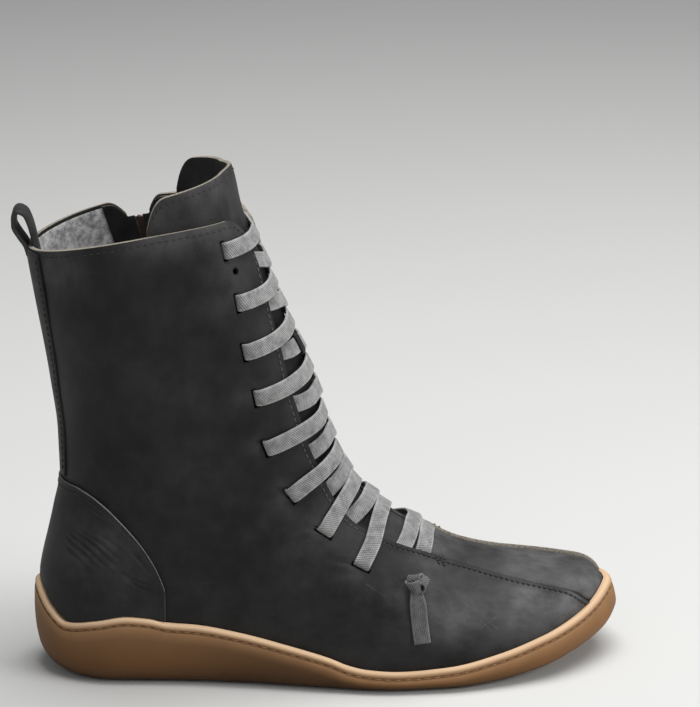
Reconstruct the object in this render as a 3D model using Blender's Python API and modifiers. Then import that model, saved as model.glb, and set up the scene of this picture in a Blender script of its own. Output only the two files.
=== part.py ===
"""Mid-calf lace boot, right foot: a leather upper on a cupped rubber sole, laced in front, zipped inside.

Metres, +Z up, toe towards +X, inner (medial) side towards +Y. The origin is the middle of the heel's tread.
Tables are in millimetres of the pattern size, measured from the back of the heel, and scaled to the
driving sizes.
"""

import math

import bmesh
import bpy
import numpy as np
from mathutils import Matrix, Vector

# Driving sizes
SOLE_LENGTH = 0.268
BALL_WIDTH = 0.100
COLLAR_HEIGHT = 0.212
LEATHER = 0.0020
CLEARANCE = 0.0004

# Pattern size that the tables are drawn for, in millimetres
PATTERN_LENGTH = 268.0
PATTERN_BALL = 100.0
PATTERN_COLLAR = 212.0
HEEL_MIDDLE = 45.0
SCALE = np.array([SOLE_LENGTH / PATTERN_LENGTH, BALL_WIDTH / PATTERN_BALL, COLLAR_HEIGHT / PATTERN_COLLAR])
MM = 0.001

# Side profile of the last at each height: back line, front line, how far from each end the plan is rounded,
# and the half width that the leg of the boot has there
LEVEL_COLUMNS = ("height", "back", "front", "toe_round", "heel_round", "half_width")
LEVELS = np.array([
    (0, 9.0, 259.0, 30, 34, 33.0),
    (10, 6.5, 261.5, 30, 34, 33.0),
    (20, 5.0, 262.5, 30, 34, 33.0),
    (28, 4.6, 261.5, 26, 34, 33.0),
    (34, 4.6, 259.8, 16, 34, 33.0),
    (38, 4.8, 256.8, 10, 34, 33.0),
    (41, 5.0, 251.3, 6.5, 34, 33.0),
    (44, 5.2, 236.0, 4, 34, 33.0),
    (48, 5.8, 209.5, 3, 34, 33.0),
    (54, 7.0, 190.0, 3, 35, 33.0),
    (62, 9.0, 178.0, 3, 36, 33.0),
    (74, 12.0, 159.5, 3, 39, 33.0),
    (88, 14.6, 145.0, 3, 44, 33.0),
    (110, 14.2, 135.0, 3, 50, 34.5),
    (135, 11.2, 127.5, 3, 52, 37.5),
    (170, 6.0, 113.5, 3, 52, 40.5),
    (197, 1.8, 103.5, 3, 52, 41.8),
    (216, -1.5, 96.5, 3, 52, 42.5),
    (245, -6.0, 86.0, 3, 52, 43.0),
])

# Plan of the foot just above the sole: half widths to the outer and the inner side
PLAN_COLUMNS = ("along", "outer", "inner")
PLAN = np.array([
    (0, 29.0, 29.0),
    (35, 30.5, 30.0),
    (70, 32.5, 29.5),
    (100, 36.5, 29.5),
    (135, 42.5, 34.5),
    (165, 46.0, 42.0),
    (185, 46.0, 45.5),
    (210, 43.0, 45.0),
    (235, 36.5, 40.5),
    (250, 31.0, 35.0),
    (264, 25.0, 28.0),
])

# Top of the sole's rim along each side
RIM_COLUMNS = ("along", "outer", "inner")
RIM = np.array([
    (0, 46.0, 46.0),
    (6, 39.3, 39.3),
    (11, 32.0, 32.0),
    (18, 27.0, 27.5),
    (30, 29.3, 29.5),
    (44, 31.8, 32.0),
    (54, 31.0, 34.5),
    (62, 29.2, 36.5),
    (76, 28.2, 38.0),
    (94, 25.3, 37.5),
    (111, 21.4, 33.0),
    (133, 15.6, 21.0),
    (142, 12.2, 17.0),
    (150, 10.6, 14.0),
    (165, 9.8, 10.8),
    (187, 11.0, 10.8),
    (210, 14.8, 13.8),
    (233, 20.8, 19.8),
    (250, 26.6, 26.6),
    (262, 33.2, 33.2),
])

# Edges of the throat at each height: below the first row they run together as the seam of the vamp
THROAT_COLUMNS = ("height", "outer", "inner")
THROAT = np.array([
    (20, -9.0, -9.0),
    (51, -9.0, -9.0),
    (57, -12.5, -5.0),
    (63, -16.0, 1.5),
    (75, -19.0, 8.5),
    (91, -22.5, 15.0),
    (109, -25.0, 20.5),
    (130, -25.0, 22.5),
    (152, -23.0, 22.0),
    (172, -19.7, 19.0),
    (191, -16.0, 16.0),
    (212, -15.0, 15.0),
])

# Slits on the outer side, from the top down, and the height of the lace that leaves each, at the middle of
# the throat. The last row is only the next step of the pattern, for the slits of the inner side between.
SLIT_COLUMNS = ("height", "along", "middle")
SLITS = np.array([
    (199.8, 89.4, 202.6),
    (176.8, 95.0, 180.5),
    (155.0, 97.7, 161.9),
    (133.8, 102.4, 141.0),
    (110.2, 106.7, 119.8),
    (87.6, 117.1, 100.8),
    (70.6, 131.8, 86.5),
    (55.4, 148.1, 74.3),
    (43.5, 161.5, 59.0),
])
INNER_SLIT_DROP = 1.4
FAR_RISE = 5.5
BOTTOM_BAR_HEIGHT = 60.3

# Sole
HEEL_SEAT = 13.0
FORE_SEAT = 5.5
TOE_SPRING = 13.0
TOE_SPRING_START = 192.0
TOE_SPRING_POWER = 1.8
SEAT_SLOPE = (35, 150)
ARCH_SPAN = ((75, 95), (125, 145))
HEEL_BEVEL = 5.0
HEEL_BEVEL_END = 24.0
ARCH_LIFT = 2.5
RIM_THICKNESS = 3.8
GROOVE_DEPTH = 1.1
INSOLE_THICKNESS = 3.6
INSOLE_ROOM = 2.8
INSOLE_EDGE = 0.8
SOLE_POINTS = 60
PLAN_HEIGHT = 16.0
BEAD_MOST = 3.4
BEAD_SHARE = 0.26
EDGE_MOST = 10.0
EDGE_SHARE = 0.42

# Upper
CREST_STEEPNESS = 2.76
ROOT_DEPTH = 6.0
ARCH_POWER_FOOT = 2.4
ARCH_POWER_LEG = 4.0
ARCH_SQUARING = (60, 200)
FOOT_TO_LEG = (40, 85)
TOE_SWING = 7.0
TOE_SWING_SPAN = (150, 262)
TOE_SKEW = 0.16
TOE_SKEW_SPAN = (190, 262)
COLLAR_BACK = 195.5
COLLAR_RISE = 0.30
COLLAR_BEND = 0.0013
CORNER_RADIUS = 12.0
FEATHER_LIFT = 0.6
FEATHER_END = 46.0
COLLAR_START = 110.0
UPPER_ROWS = 25
OUTER_COLUMNS = 18
FRONT_TO_ZIP_COLUMNS = 11
ZIP_TO_BACK_COLUMNS = 8

# Zip: centre line from its top to its bottom end, and half the width of its slot
ZIP_TOP = (48.0, 207.0)
ZIP_BOTTOM = (99.0, 48.0)
ZIP_HALF = 5.2
ZIP_SLIDER_HEIGHT = 193.0

# Lace
LACE_WIDTH = 7.5
LACE_THICKNESS = 1.2
BAR_LIFT = 1.6
BAR_TUCK = 0.4
BAR_END_ROOM = 1.6
BOTTOM_BAR_LIFT = 1.1

# Looks of the plain solids: colour, roughness, metallic
LEATHER_LOOK = ((0.030, 0.031, 0.032), 0.55, 0.0)
RUBBER_LOOK = ((0.36, 0.20, 0.09), 0.60, 0.0)
LACE_LOOK = ((0.20, 0.20, 0.20), 0.85, 0.0)
LINING_LOOK = ((0.30, 0.30, 0.29), 0.90, 0.0)
ZIP_LOOK = ((0.05, 0.03, 0.025), 0.60, 0.2)
METAL_LOOK = ((0.10, 0.07, 0.06), 0.40, 0.9)


for old in list(bpy.data.objects):
    bpy.data.objects.remove(old, do_unlink=True)

PARTS = bpy.data.collections.new("mid_calf_boot")
CUTTERS = bpy.data.collections.new("cutters")
bpy.context.scene.collection.children.link(PARTS)
bpy.context.scene.collection.children.link(CUTTERS)


def ramp(start, end, value):
    share = np.clip((np.asarray(value, float) - start) / (end - start), 0, 1)
    return share * share * (3 - 2 * share)


def smooth_curve(knots, values):
    """A curve through a table's points that never overshoots them, and runs on straight past its ends."""
    knots = np.asarray(knots, float)
    values = np.asarray(values, float)
    steps = np.diff(knots)
    slopes = np.diff(values) / steps
    tangents = np.concatenate([slopes[:1], np.zeros(len(knots) - 2), slopes[-1:]])
    for i in range(1, len(knots) - 1):
        if slopes[i - 1] * slopes[i] > 0:
            before = 2 * steps[i] + steps[i - 1]
            after = steps[i] + 2 * steps[i - 1]
            tangents[i] = (before + after) / (before / slopes[i - 1] + after / slopes[i])

    def value_at(place):
        place = np.asarray(place, float)
        i = np.clip(np.searchsorted(knots, place) - 1, 0, len(knots) - 2)
        free = (place - knots[i]) / steps[i]
        t = np.clip(free, 0, 1)
        inside = (
            values[i] * (1 + 2 * t) * (1 - t) ** 2
            + steps[i] * tangents[i] * t * (1 - t) ** 2
            + values[i + 1] * t * t * (3 - 2 * t)
            + steps[i] * tangents[i + 1] * t * t * (t - 1)
        )
        end_tangent = np.where(free < 0, tangents[i], tangents[i + 1])
        return inside + steps[i] * end_tangent * (free - t)

    return value_at


def table_curve(table, columns, name):
    return smooth_curve(table[:, 0], table[:, columns.index(name)])


back_line = table_curve(LEVELS, LEVEL_COLUMNS, "back")
front_line = table_curve(LEVELS, LEVEL_COLUMNS, "front")
toe_round = table_curve(LEVELS, LEVEL_COLUMNS, "toe_round")
heel_round = table_curve(LEVELS, LEVEL_COLUMNS, "heel_round")
leg_half_width = table_curve(LEVELS, LEVEL_COLUMNS, "half_width")
plan_outer = table_curve(PLAN, PLAN_COLUMNS, "outer")
plan_inner = table_curve(PLAN, PLAN_COLUMNS, "inner")
rim_outer = table_curve(RIM, RIM_COLUMNS, "outer")
rim_inner = table_curve(RIM, RIM_COLUMNS, "inner")
throat_outer = table_curve(THROAT, THROAT_COLUMNS, "outer")
throat_inner = table_curve(THROAT, THROAT_COLUMNS, "inner")

CREST_HEIGHTS = np.linspace(LEVELS[2, 0], LEVELS[-1, 0], 1200)
CREST_PLACES = front_line(CREST_HEIGHTS)


def crest_height(along):
    """Height of the boot's front line over a place along the sole."""
    on_line = np.interp(-along, -CREST_PLACES, CREST_HEIGHTS)
    return on_line + np.clip(CREST_PLACES[-1] - along, 0, None) * CREST_STEEPNESS


def toe_lift(along):
    share = np.clip((along - TOE_SPRING_START) / (PATTERN_LENGTH - TOE_SPRING_START), 0, None)
    return TOE_SPRING * share ** TOE_SPRING_POWER


def seat_height(along):
    """Top of the sole inside the boot."""
    return FORE_SEAT + (HEEL_SEAT - FORE_SEAT) * (1 - ramp(*SEAT_SLOPE, along)) + toe_lift(along)


def last_surface(height, turn):
    """The outside of the upper. turn runs from -1 at the back, round the outer side to 0 in front, and on
    round the inner side to 1 at the back."""
    height, turn = np.broadcast_arrays(np.asarray(height, float), np.asarray(turn, float))
    turn = np.mod(turn + 1, 2) - 1
    side = np.where(turn < 0, -1.0, 1.0)
    back = back_line(height)
    front = front_line(height)
    along = back + (front - back) * (1 + np.cos(np.pi * turn)) / 2
    base = np.minimum(seat_height(along) - ROOT_DEPTH, height)
    share = np.clip((height - base) / np.maximum(crest_height(along) - base, 1e-6), 0, 1)
    power = ARCH_POWER_FOOT + (ARCH_POWER_LEG - ARCH_POWER_FOOT) * ramp(*ARCH_SQUARING, height)
    arch = np.sqrt(np.clip(1 - share ** power, 0, 1))
    foot_half = np.where(side < 0, plan_outer(along), plan_inner(along))
    leg_share = ramp(*FOOT_TO_LEG, height)
    half = foot_half * (1 - leg_share) + leg_half_width(height) * leg_share
    heel_end = np.clip((along - back) / heel_round(height), 0, 1)
    toe_end = np.clip((front - along) / toe_round(height), 0, 1)
    ends = np.sqrt((1 - (1 - heel_end) ** 2) * (1 - (1 - toe_end) ** 2))
    sideways = side * half * arch * ends
    middle = TOE_SWING * ramp(*TOE_SWING_SPAN, along)
    skew = TOE_SKEW * ramp(*TOE_SKEW_SPAN, along)
    return np.stack([along + skew * sideways, middle + sideways, height], -1)


def surface_normal(height, turn):
    """Outward normal of the last's surface."""
    height, turn = np.broadcast_arrays(np.asarray(height, float), np.asarray(turn, float))
    round_step = last_surface(height, turn + 0.002) - last_surface(height, turn - 0.002)
    up_step = last_surface(height + 0.2, turn) - last_surface(height - 0.2, turn)
    normal = np.cross(round_step, up_step)
    return normal / np.maximum(np.linalg.norm(normal, axis=-1, keepdims=True), 1e-9)


def off_surface(height, turn, offset):
    normal = surface_normal(height, turn)
    return last_surface(height, turn) + normal * np.asarray(offset, float)[..., None]


def turn_at_place(height, along, side):
    """Turn of the point at this height and place along the boot, on the outer (-1) or inner (1) side."""
    back = back_line(height)
    share = np.clip((along - back) / (front_line(height) - back), 0, 1)
    return side * np.arccos(np.clip(2 * share - 1, -1, 1)) / np.pi


def turn_at_width(height, sideways):
    """Turn of the point near the front that lies this far to the side."""
    turns = np.linspace(-0.6, 0.6, 481)
    heights = np.atleast_1d(np.asarray(height, float))
    widths = np.broadcast_to(sideways, heights.shape)
    found = [np.interp(w, last_surface(h, turns)[:, 1], turns) for h, w in zip(heights, widths)]
    return np.array(found).reshape(np.shape(height))


def throat_turn(height, side):
    edge = throat_outer if side < 0 else throat_inner
    return turn_at_width(height, edge(height))


def front_levels(count, lowest, highest):
    """Heights that split the front line into even lengths."""
    heights = np.linspace(lowest, highest, 800)
    steps = np.hypot(np.diff(heights), np.diff(front_line(heights)))
    length = np.concatenate([[0], np.cumsum(steps)])
    return np.interp(np.linspace(0, length[-1], count), length, heights)


def collar_height(along):
    return COLLAR_BACK + COLLAR_RISE * along - COLLAR_BEND * along ** 2


def rim_height(along, turn):
    return np.where(turn < 0, rim_outer(along), rim_inner(along))


def to_metres(points):
    points = np.array(points, float)
    points[..., 0] -= HEEL_MIDDLE
    return points * SCALE


def material_of(name, look):
    colour, roughness, metallic = look
    material = bpy.data.materials.new(name)
    material.use_nodes = True
    shader = material.node_tree.nodes["Principled BSDF"]
    shader.inputs["Base Color"].default_value = (*colour, 1.0)
    shader.inputs["Roughness"].default_value = roughness
    shader.inputs["Metallic"].default_value = metallic
    return material


def add_part(name, mesh, look, collection=PARTS):
    part = bpy.data.objects.new(name, mesh)
    collection.objects.link(part)
    if collection is CUTTERS:
        part.hide_render = True
        part.display_type = "WIRE"
    else:
        mesh.materials.append(material_of(name, look))
        mesh.shade_smooth()
        mesh.set_sharp_from_angle(angle=math.radians(35))
    return part


def mesh_of(name, points, faces):
    """A mesh of points in pattern millimetres, with coinciding points made one and faces turned outward."""
    cage = bmesh.new()
    verts = [cage.verts.new(p) for p in to_metres(points)]
    for face in faces:
        cage.faces.new([verts[i] for i in face])
    bmesh.ops.remove_doubles(cage, verts=cage.verts, dist=1e-6)
    bmesh.ops.dissolve_degenerate(cage, edges=cage.edges, dist=1e-7)
    bmesh.ops.recalc_face_normals(cage, faces=cage.faces)
    mesh = bpy.data.meshes.new(name)
    cage.to_mesh(mesh)
    cage.free()
    return mesh


def grid_faces(rows, columns, left_out=()):
    faces = []
    for r in range(rows - 1):
        for c in range(columns - 1):
            if (r, c) not in left_out:
                a = r * columns + c
                faces.append((a, a + 1, a + columns + 1, a + columns))
    return faces


def sheet_part(name, grid, thickness, look, left_out=()):
    """A sheet of leather: an open surface of rows and columns, thickened inward."""
    rows, columns = grid.shape[:2]
    points = to_metres(grid.reshape(-1, 3))
    cage = bmesh.new()
    verts = [cage.verts.new(p) for p in points]
    for face in grid_faces(rows, columns, left_out):
        cage.faces.new([verts[i] for i in face])
    bmesh.ops.remove_doubles(cage, verts=cage.verts, dist=1e-6)
    loose = [v for v in cage.verts if not v.link_faces]
    bmesh.ops.delete(cage, geom=loose, context="VERTS")
    mesh = bpy.data.meshes.new(name)
    cage.to_mesh(mesh)
    cage.free()
    part = add_part(name, mesh, look)
    wall = part.modifiers.new("wall", "SOLIDIFY")
    wall.thickness = thickness
    wall.offset = -1
    wall.use_quality_normals = True
    return part


def ribbon_points(path, normals, width, thickness):
    """Corners of a flat strip along a path, four to each step."""
    path = np.asarray(path, float)
    along = np.gradient(path, axis=0)
    along /= np.linalg.norm(along, axis=1, keepdims=True)
    across = np.cross(normals, along)
    across /= np.linalg.norm(across, axis=1, keepdims=True)
    up = np.cross(along, across)
    corners = ((-1, -1), (1, -1), (1, 1), (-1, 1))
    return np.stack([path + a * across * width / 2 + b * up * thickness / 2 for a, b in corners], 1)


def ribbon_mesh(name, path, normals, width, thickness):
    corners = ribbon_points(path, normals, width, thickness)
    steps = len(corners)
    faces = [(0, 1, 2, 3), tuple(4 * (steps - 1) + i for i in (3, 2, 1, 0))]
    for s in range(steps - 1):
        for i in range(4):
            j = (i + 1) % 4
            faces.append((4 * s + i, 4 * s + j, 4 * s + 4 + j, 4 * s + 4 + i))
    return mesh_of(name, corners.reshape(-1, 3), faces)


def boolean(part, operation, other):
    """Cuts or joins with another object, or with every object of a collection."""
    step = part.modifiers.new(operation.lower(), "BOOLEAN")
    step.operation = operation
    step.solver = "EXACT"
    if isinstance(other, bpy.types.Collection):
        step.operand_type = "COLLECTION"
        step.collection = other
    else:
        step.object = other


def contour_offset(height, turn, offset):
    """A point beside the last's contour at this height, moved level and square to it."""
    step = last_surface(height, turn + 0.002) - last_surface(height, turn - 0.002)
    level = np.stack([step[..., 1], -step[..., 0], np.zeros_like(step[..., 0])], -1)
    level /= np.maximum(np.linalg.norm(level, axis=-1, keepdims=True), 1e-9)
    return last_surface(height, turn) + level * np.asarray(offset, float)[..., None]


def ring_turns(count):
    """Turns once round the boot, the same on both sides, from the back and round to just before it."""
    half = np.linspace(-1, 0, count // 2 + 1)
    return np.concatenate([half, -half[-2:0:-1]])


def loft_faces(ring_count, size):
    faces = []
    for r in range(ring_count - 1):
        for c in range(size):
            d = (c + 1) % size
            faces.append((r * size + c, r * size + d, (r + 1) * size + d, (r + 1) * size + c))
    return faces


def ladder_faces(first, size):
    """Fills a ring of ring_turns by rungs from the outer side to the inner side."""
    faces = [(first, first + 1, first + size - 1)]
    for i in range(1, size // 2 - 1):
        faces.append((first + i, first + i + 1, first + size - i - 1, first + size - i))
    faces.append((first + size // 2 - 1, first + size // 2, first + size // 2 + 1))
    return faces


def tread_height(along, turn):
    """Underside of the sole: flat at heel and ball, rising at the back, the toe and under the inner arch."""
    bevel = HEEL_BEVEL * np.clip(1 - along / HEEL_BEVEL_END, 0, None) ** 2
    arch = ARCH_LIFT * ramp(*ARCH_SPAN[0], along) * (1 - ramp(*ARCH_SPAN[1], along)) * (turn > 0)
    return bevel + toe_lift(along) + arch


def build_outsole():
    turn = ring_turns(SOLE_POINTS)
    along = last_surface(np.full_like(turn, PLAN_HEIGHT), turn)[:, 0]
    seat = seat_height(along)
    rim = rim_height(along, turn)
    tread = tread_height(along, turn)
    wall = rim - tread
    bead = np.minimum(BEAD_MOST, BEAD_SHARE * wall)
    edge = np.minimum(EDGE_MOST, EDGE_SHARE * wall)
    foot = seat + 1.0
    gap = CLEARANCE / MM
    rings = (
        (seat, gap),
        ((seat + rim) / 2, gap),
        (rim - 0.8, gap),
        (rim, 1.3),
        (rim - 0.4, RIM_THICKNESS - 1.0),
        (rim - 0.5 * bead, RIM_THICKNESS),
        (rim - 0.95 * bead, RIM_THICKNESS - 0.1),
        (rim - 1.2 * bead, RIM_THICKNESS - GROOVE_DEPTH),
        (rim - 1.5 * bead, RIM_THICKNESS),
        (tread + 0.62 * wall - 0.4 * bead, RIM_THICKNESS + 0.4),
        (tread + edge, RIM_THICKNESS + 0.2),
        (tread + 0.35 * edge, RIM_THICKNESS - 2.2),
        (tread + 0.08 * edge, RIM_THICKNESS - 5.5),
        (tread, RIM_THICKNESS - 8.5),
    )
    points = []
    for height, offset in rings:
        ring = contour_offset(np.maximum(height, foot), turn, np.broadcast_to(offset, turn.shape))
        ring[:, 2] = height
        points.append(ring)
    points[-1][:, 2] = tread_height(points[-1][:, 0], turn)
    faces = loft_faces(len(rings), SOLE_POINTS)
    faces += ladder_faces(0, SOLE_POINTS)
    faces += ladder_faces((len(rings) - 1) * SOLE_POINTS, SOLE_POINTS)
    add_part("outsole", mesh_of("outsole", np.concatenate(points), faces), RUBBER_LOOK)


def build_insole():
    turn = ring_turns(SOLE_POINTS)
    along = last_surface(np.full_like(turn, PLAN_HEIGHT), turn)[:, 0]
    seat = seat_height(along)
    gap = CLEARANCE / MM
    inset = -(LEATHER / MM + INSOLE_ROOM)
    points = []
    shoulder = INSOLE_THICKNESS - INSOLE_EDGE
    for lift, more in ((gap, 0.0), (gap + shoulder, 0.0), (gap + INSOLE_THICKNESS, -INSOLE_EDGE)):
        ring = contour_offset(seat + 2.5, turn, np.full_like(turn, inset + more))
        ring[:, 2] = seat_height(ring[:, 0]) + lift
        points.append(ring)
    faces = loft_faces(3, SOLE_POINTS)
    faces += ladder_faces(0, SOLE_POINTS)
    faces += ladder_faces(2 * SOLE_POINTS, SOLE_POINTS)
    add_part("insole", mesh_of("insole", np.concatenate(points), faces), LINING_LOOK)


def zip_place(height):
    """Place along the boot of the zip's centre line."""
    share = (height - ZIP_BOTTOM[1]) / (ZIP_TOP[1] - ZIP_BOTTOM[1])
    return ZIP_BOTTOM[0] + share * (ZIP_TOP[0] - ZIP_BOTTOM[0])


ZIP_SLANT = math.hypot(1.0, (ZIP_TOP[0] - ZIP_BOTTOM[0]) / (ZIP_TOP[1] - ZIP_BOTTOM[1]))


UPPER_LEVELS = front_levels(UPPER_ROWS, FORE_SEAT, PATTERN_COLLAR)
ZIP_FIRST_ROW = int(np.searchsorted(UPPER_LEVELS, ZIP_BOTTOM[1]))


def upper_row_turns(height):
    """Turns of one row of the upper, from the back round both sides, with the zip's slot between two."""
    outer_edge = throat_turn(height, -1)
    inner_edge = throat_turn(height, 1)
    slot = [turn_at_place(height, zip_place(height) + s * ZIP_HALF * ZIP_SLANT, 1) for s in (1, -1)]
    outer = np.linspace(-1, outer_edge, OUTER_COLUMNS + 1)
    to_zip = np.linspace(inner_edge, slot[0], FRONT_TO_ZIP_COLUMNS + 1)
    to_back = np.linspace(slot[1], 1, ZIP_TO_BACK_COLUMNS + 1)
    return np.concatenate([outer, to_zip, to_back])


def build_upper():
    grid = []
    for level in UPPER_LEVELS:
        turn = upper_row_turns(level)
        flat = last_surface(np.full_like(turn, level), turn)
        corner = np.minimum(*(np.linalg.norm(flat - flat[OUTER_COLUMNS + i], axis=1) for i in (0, 1)))
        drop = 0.9 * CORNER_RADIUS * np.clip(1 - corner / CORNER_RADIUS, 0, 1) ** 2
        low_share = 1 - ramp(FORE_SEAT, FEATHER_END, level)
        top_share = ramp(COLLAR_START, PATTERN_COLLAR, level)
        height = np.full_like(turn, level)
        for _ in range(4):
            along = last_surface(height, turn)[:, 0]
            height = level + low_share * (seat_height(along) + FEATHER_LIFT - FORE_SEAT)
            height += top_share * (collar_height(along) - drop - PATTERN_COLLAR)
        grid.append(last_surface(height, turn))
    grid = np.array(grid)
    seam = OUTER_COLUMNS
    slot = OUTER_COLUMNS + 1 + FRONT_TO_ZIP_COLUMNS
    left_out = {(r, seam) for r in range(UPPER_ROWS)}
    left_out |= {(r, slot) for r in range(ZIP_FIRST_ROW, UPPER_ROWS)}
    upper = sheet_part("upper", grid, LEATHER, LEATHER_LOOK, left_out)
    boolean(upper, "DIFFERENCE", build_slit_cutter())


def inner_slits():
    """Rows of the inner side's slits: half a step below those of the outer side."""
    rows = (SLITS[:-1] + SLITS[1:]) / 2
    for name in ("height", "middle"):
        rows[:, SLIT_COLUMNS.index(name)] -= INNER_SLIT_DROP
    return rows


def bar_path(row, side, steps=8):
    """Route of one bar of the lace, from its slit over the throat's edge to the far edge, and its normals."""
    height, along, middle = row
    far = middle + FAR_RISE
    start = turn_at_place(height, along, side)
    edge = throat_inner if side < 0 else throat_outer
    end = turn_at_width(far, edge(far) + side * BAR_END_ROOM)
    centre = turn_at_width(middle, (throat_outer(middle) + throat_inner(middle)) / 2)
    share = np.linspace(0, 1, steps)
    crossing = (centre - start) / (end - start)
    heights = smooth_curve((0, crossing, 1), (height, middle, far))(share)
    turns = start + (end - start) * share
    offset = BAR_LIFT - BAR_TUCK * ramp(0.55, 0.95, share)
    return off_surface(heights, turns, offset), surface_normal(heights, turns)


def slit_frame(height, turn, path):
    """Axes at a slit: outward, along the lace, and along the slit."""
    out = surface_normal(height, turn)
    along = path[1] - path[0]
    along -= out * np.dot(along, out)
    along /= np.linalg.norm(along)
    return np.stack([along, np.cross(out, along), out], 1)


def box_points(centre, axes, sizes):
    corners = np.array([(a, b, c) for a in (-1, 1) for b in (-1, 1) for c in (-1, 1)]) / 2
    return centre + (corners * sizes) @ axes.T


BOX_FACES = ((0, 1, 3, 2), (4, 6, 7, 5), (0, 4, 5, 1), (2, 3, 7, 6), (0, 2, 6, 4), (1, 5, 7, 3))
SLIT_LENGTH = 8.6
SLIT_WIDTH = 1.6
SLIT_DEPTH = 9.0
KNOT_HOLE = 3.0
OUTER_KNOT = (45.8, 171.7)
INNER_KNOT = (201.5, 84.5)
PUNCH_HOLE = (190.4, 93.4)


def build_slit_cutter():
    points = []
    faces = []
    for rows, side in ((SLITS[:-1], -1), (inner_slits(), 1)):
        for row in rows:
            path, _ = bar_path(row, side)
            turn = turn_at_place(row[0], row[1], side)
            axes = slit_frame(row[0], turn, path)
            centre = last_surface(row[0], turn) - axes[:, 0] * SLIT_WIDTH / 2
            faces += [tuple(len(points) * 8 + i for i in face) for face in BOX_FACES]
            points.append(box_points(centre, axes, (SLIT_WIDTH, SLIT_LENGTH, SLIT_DEPTH)))
    for (height, along), side in ((OUTER_KNOT, -1), (INNER_KNOT, 1), (PUNCH_HOLE, -1)):
        turn = turn_at_place(height, along, side)
        out = surface_normal(height, turn)
        level = np.cross((0, 0, 1), out)
        level /= np.linalg.norm(level)
        axes = np.stack([level, np.cross(out, level), out], 1)
        faces += [tuple(len(points) * 8 + i for i in face) for face in BOX_FACES]
        points.append(box_points(last_surface(height, turn), axes, (KNOT_HOLE, KNOT_HOLE, SLIT_DEPTH)))
    return add_part("slit_cutter", mesh_of("slit_cutter", np.concatenate(points), faces), None, CUTTERS)


# Tongue: edge of its wings and its top, along the boot at each height
TONGUE_COLUMNS = ("height", "outer", "inner")
TONGUE = np.array([
    (50, 172.0, 172.0),
    (70, 140.0, 140.0),
    (100, 108.0, 108.0),
    (150, 86.0, 86.0),
    (205, 53.5, 63.5),
    (235, 51.0, 63.0),
])
TONGUE_TOP = 232.5
TONGUE_TOP_PLACE = 91.0
TONGUE_SLOPE = 0.22
TONGUE_CORNER = 12.0
TONGUE_LEAN = 2.4
TONGUE_GAP = 1.2
TONGUE_THICKNESS = 1.8
TONGUE_BULGE = 1.6
TONGUE_BULGE_EDGE = 3.0
TONGUE_ROWS = 18
TONGUE_HALF_COLUMNS = 7
outer_wing, inner_wing = (table_curve(TONGUE, TONGUE_COLUMNS, name) for name in TONGUE_COLUMNS[1:])


def build_tongue():
    levels = front_levels(TONGUE_ROWS, TONGUE[0, 0], TONGUE_TOP)
    inset = -(LEATHER / MM + TONGUE_GAP)
    grid = []
    for level in levels:
        ends = [turn_at_place(level, place(level), side) for place, side in ((outer_wing, -1), (inner_wing, 1))]
        middle = turn_at_width(level, (throat_outer(level) + throat_inner(level)) / 2)
        turn = np.concatenate([
            np.linspace(ends[0], middle, TONGUE_HALF_COLUMNS + 1),
            np.linspace(middle, ends[1], TONGUE_HALF_COLUMNS + 1)[1:],
        ])
        along = last_surface(np.full_like(turn, level), turn)[:, 0]
        from_wing = along - np.where(turn < 0, outer_wing(level), inner_wing(level))
        corner = TONGUE_CORNER * np.clip(1 - from_wing / TONGUE_CORNER, 0, 1) ** 2
        top = TONGUE_TOP - TONGUE_SLOPE * np.clip(TONGUE_TOP_PLACE - along, 0, None) - corner
        height = level + ramp(120, TONGUE_TOP, level) * (top - TONGUE_TOP)
        half_gap = (throat_inner(level) - throat_outer(level)) / 2 - TONGUE_BULGE_EDGE
        sideways = last_surface(np.full_like(turn, level), turn)[:, 1]
        from_middle = (sideways - (throat_inner(level) + throat_outer(level)) / 2) / max(half_gap, 1.0)
        bulge = TONGUE_BULGE * np.clip(1 - from_middle ** 2, 0, 1) * ramp(0, 2 * TONGUE_BULGE_EDGE, half_gap)
        lean = TONGUE_LEAN * ramp(210, TONGUE_TOP, height)
        grid.append(off_surface(height, turn, inset + bulge + lean))
    sheet_part("tongue", np.array(grid), TONGUE_THICKNESS * MM, LEATHER_LOOK)


# Heel counter and back strip, laid on the outside of the upper
COUNTER_TOP = 89.0
COUNTER_BASE = 30.0
COUNTER_BACK = 13.0
COUNTER_REACH = 49.5
COUNTER_GAP = 0.5
COUNTER_THICKNESS = 1.3
COUNTER_COLUMNS = 25
COUNTER_ROWS = 8
BACKSTAY_COLUMNS = ("height", "half_width")
BACKSTAY = np.array([(90, 10.5), (128, 13.0), (152, 16.0), (180, 18.5), (200, 19.5)])
BACKSTAY_ROWS = 11
BACKSTAY_STRIPS = 7
backstay_half = table_curve(BACKSTAY, BACKSTAY_COLUMNS, "half_width")


def counter_edge(along):
    share = np.clip((along - COUNTER_BACK) / COUNTER_REACH, 0, 1)
    return COUNTER_BASE + (COUNTER_TOP - COUNTER_BASE) * np.sqrt(1 - share ** 1.45)


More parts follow.
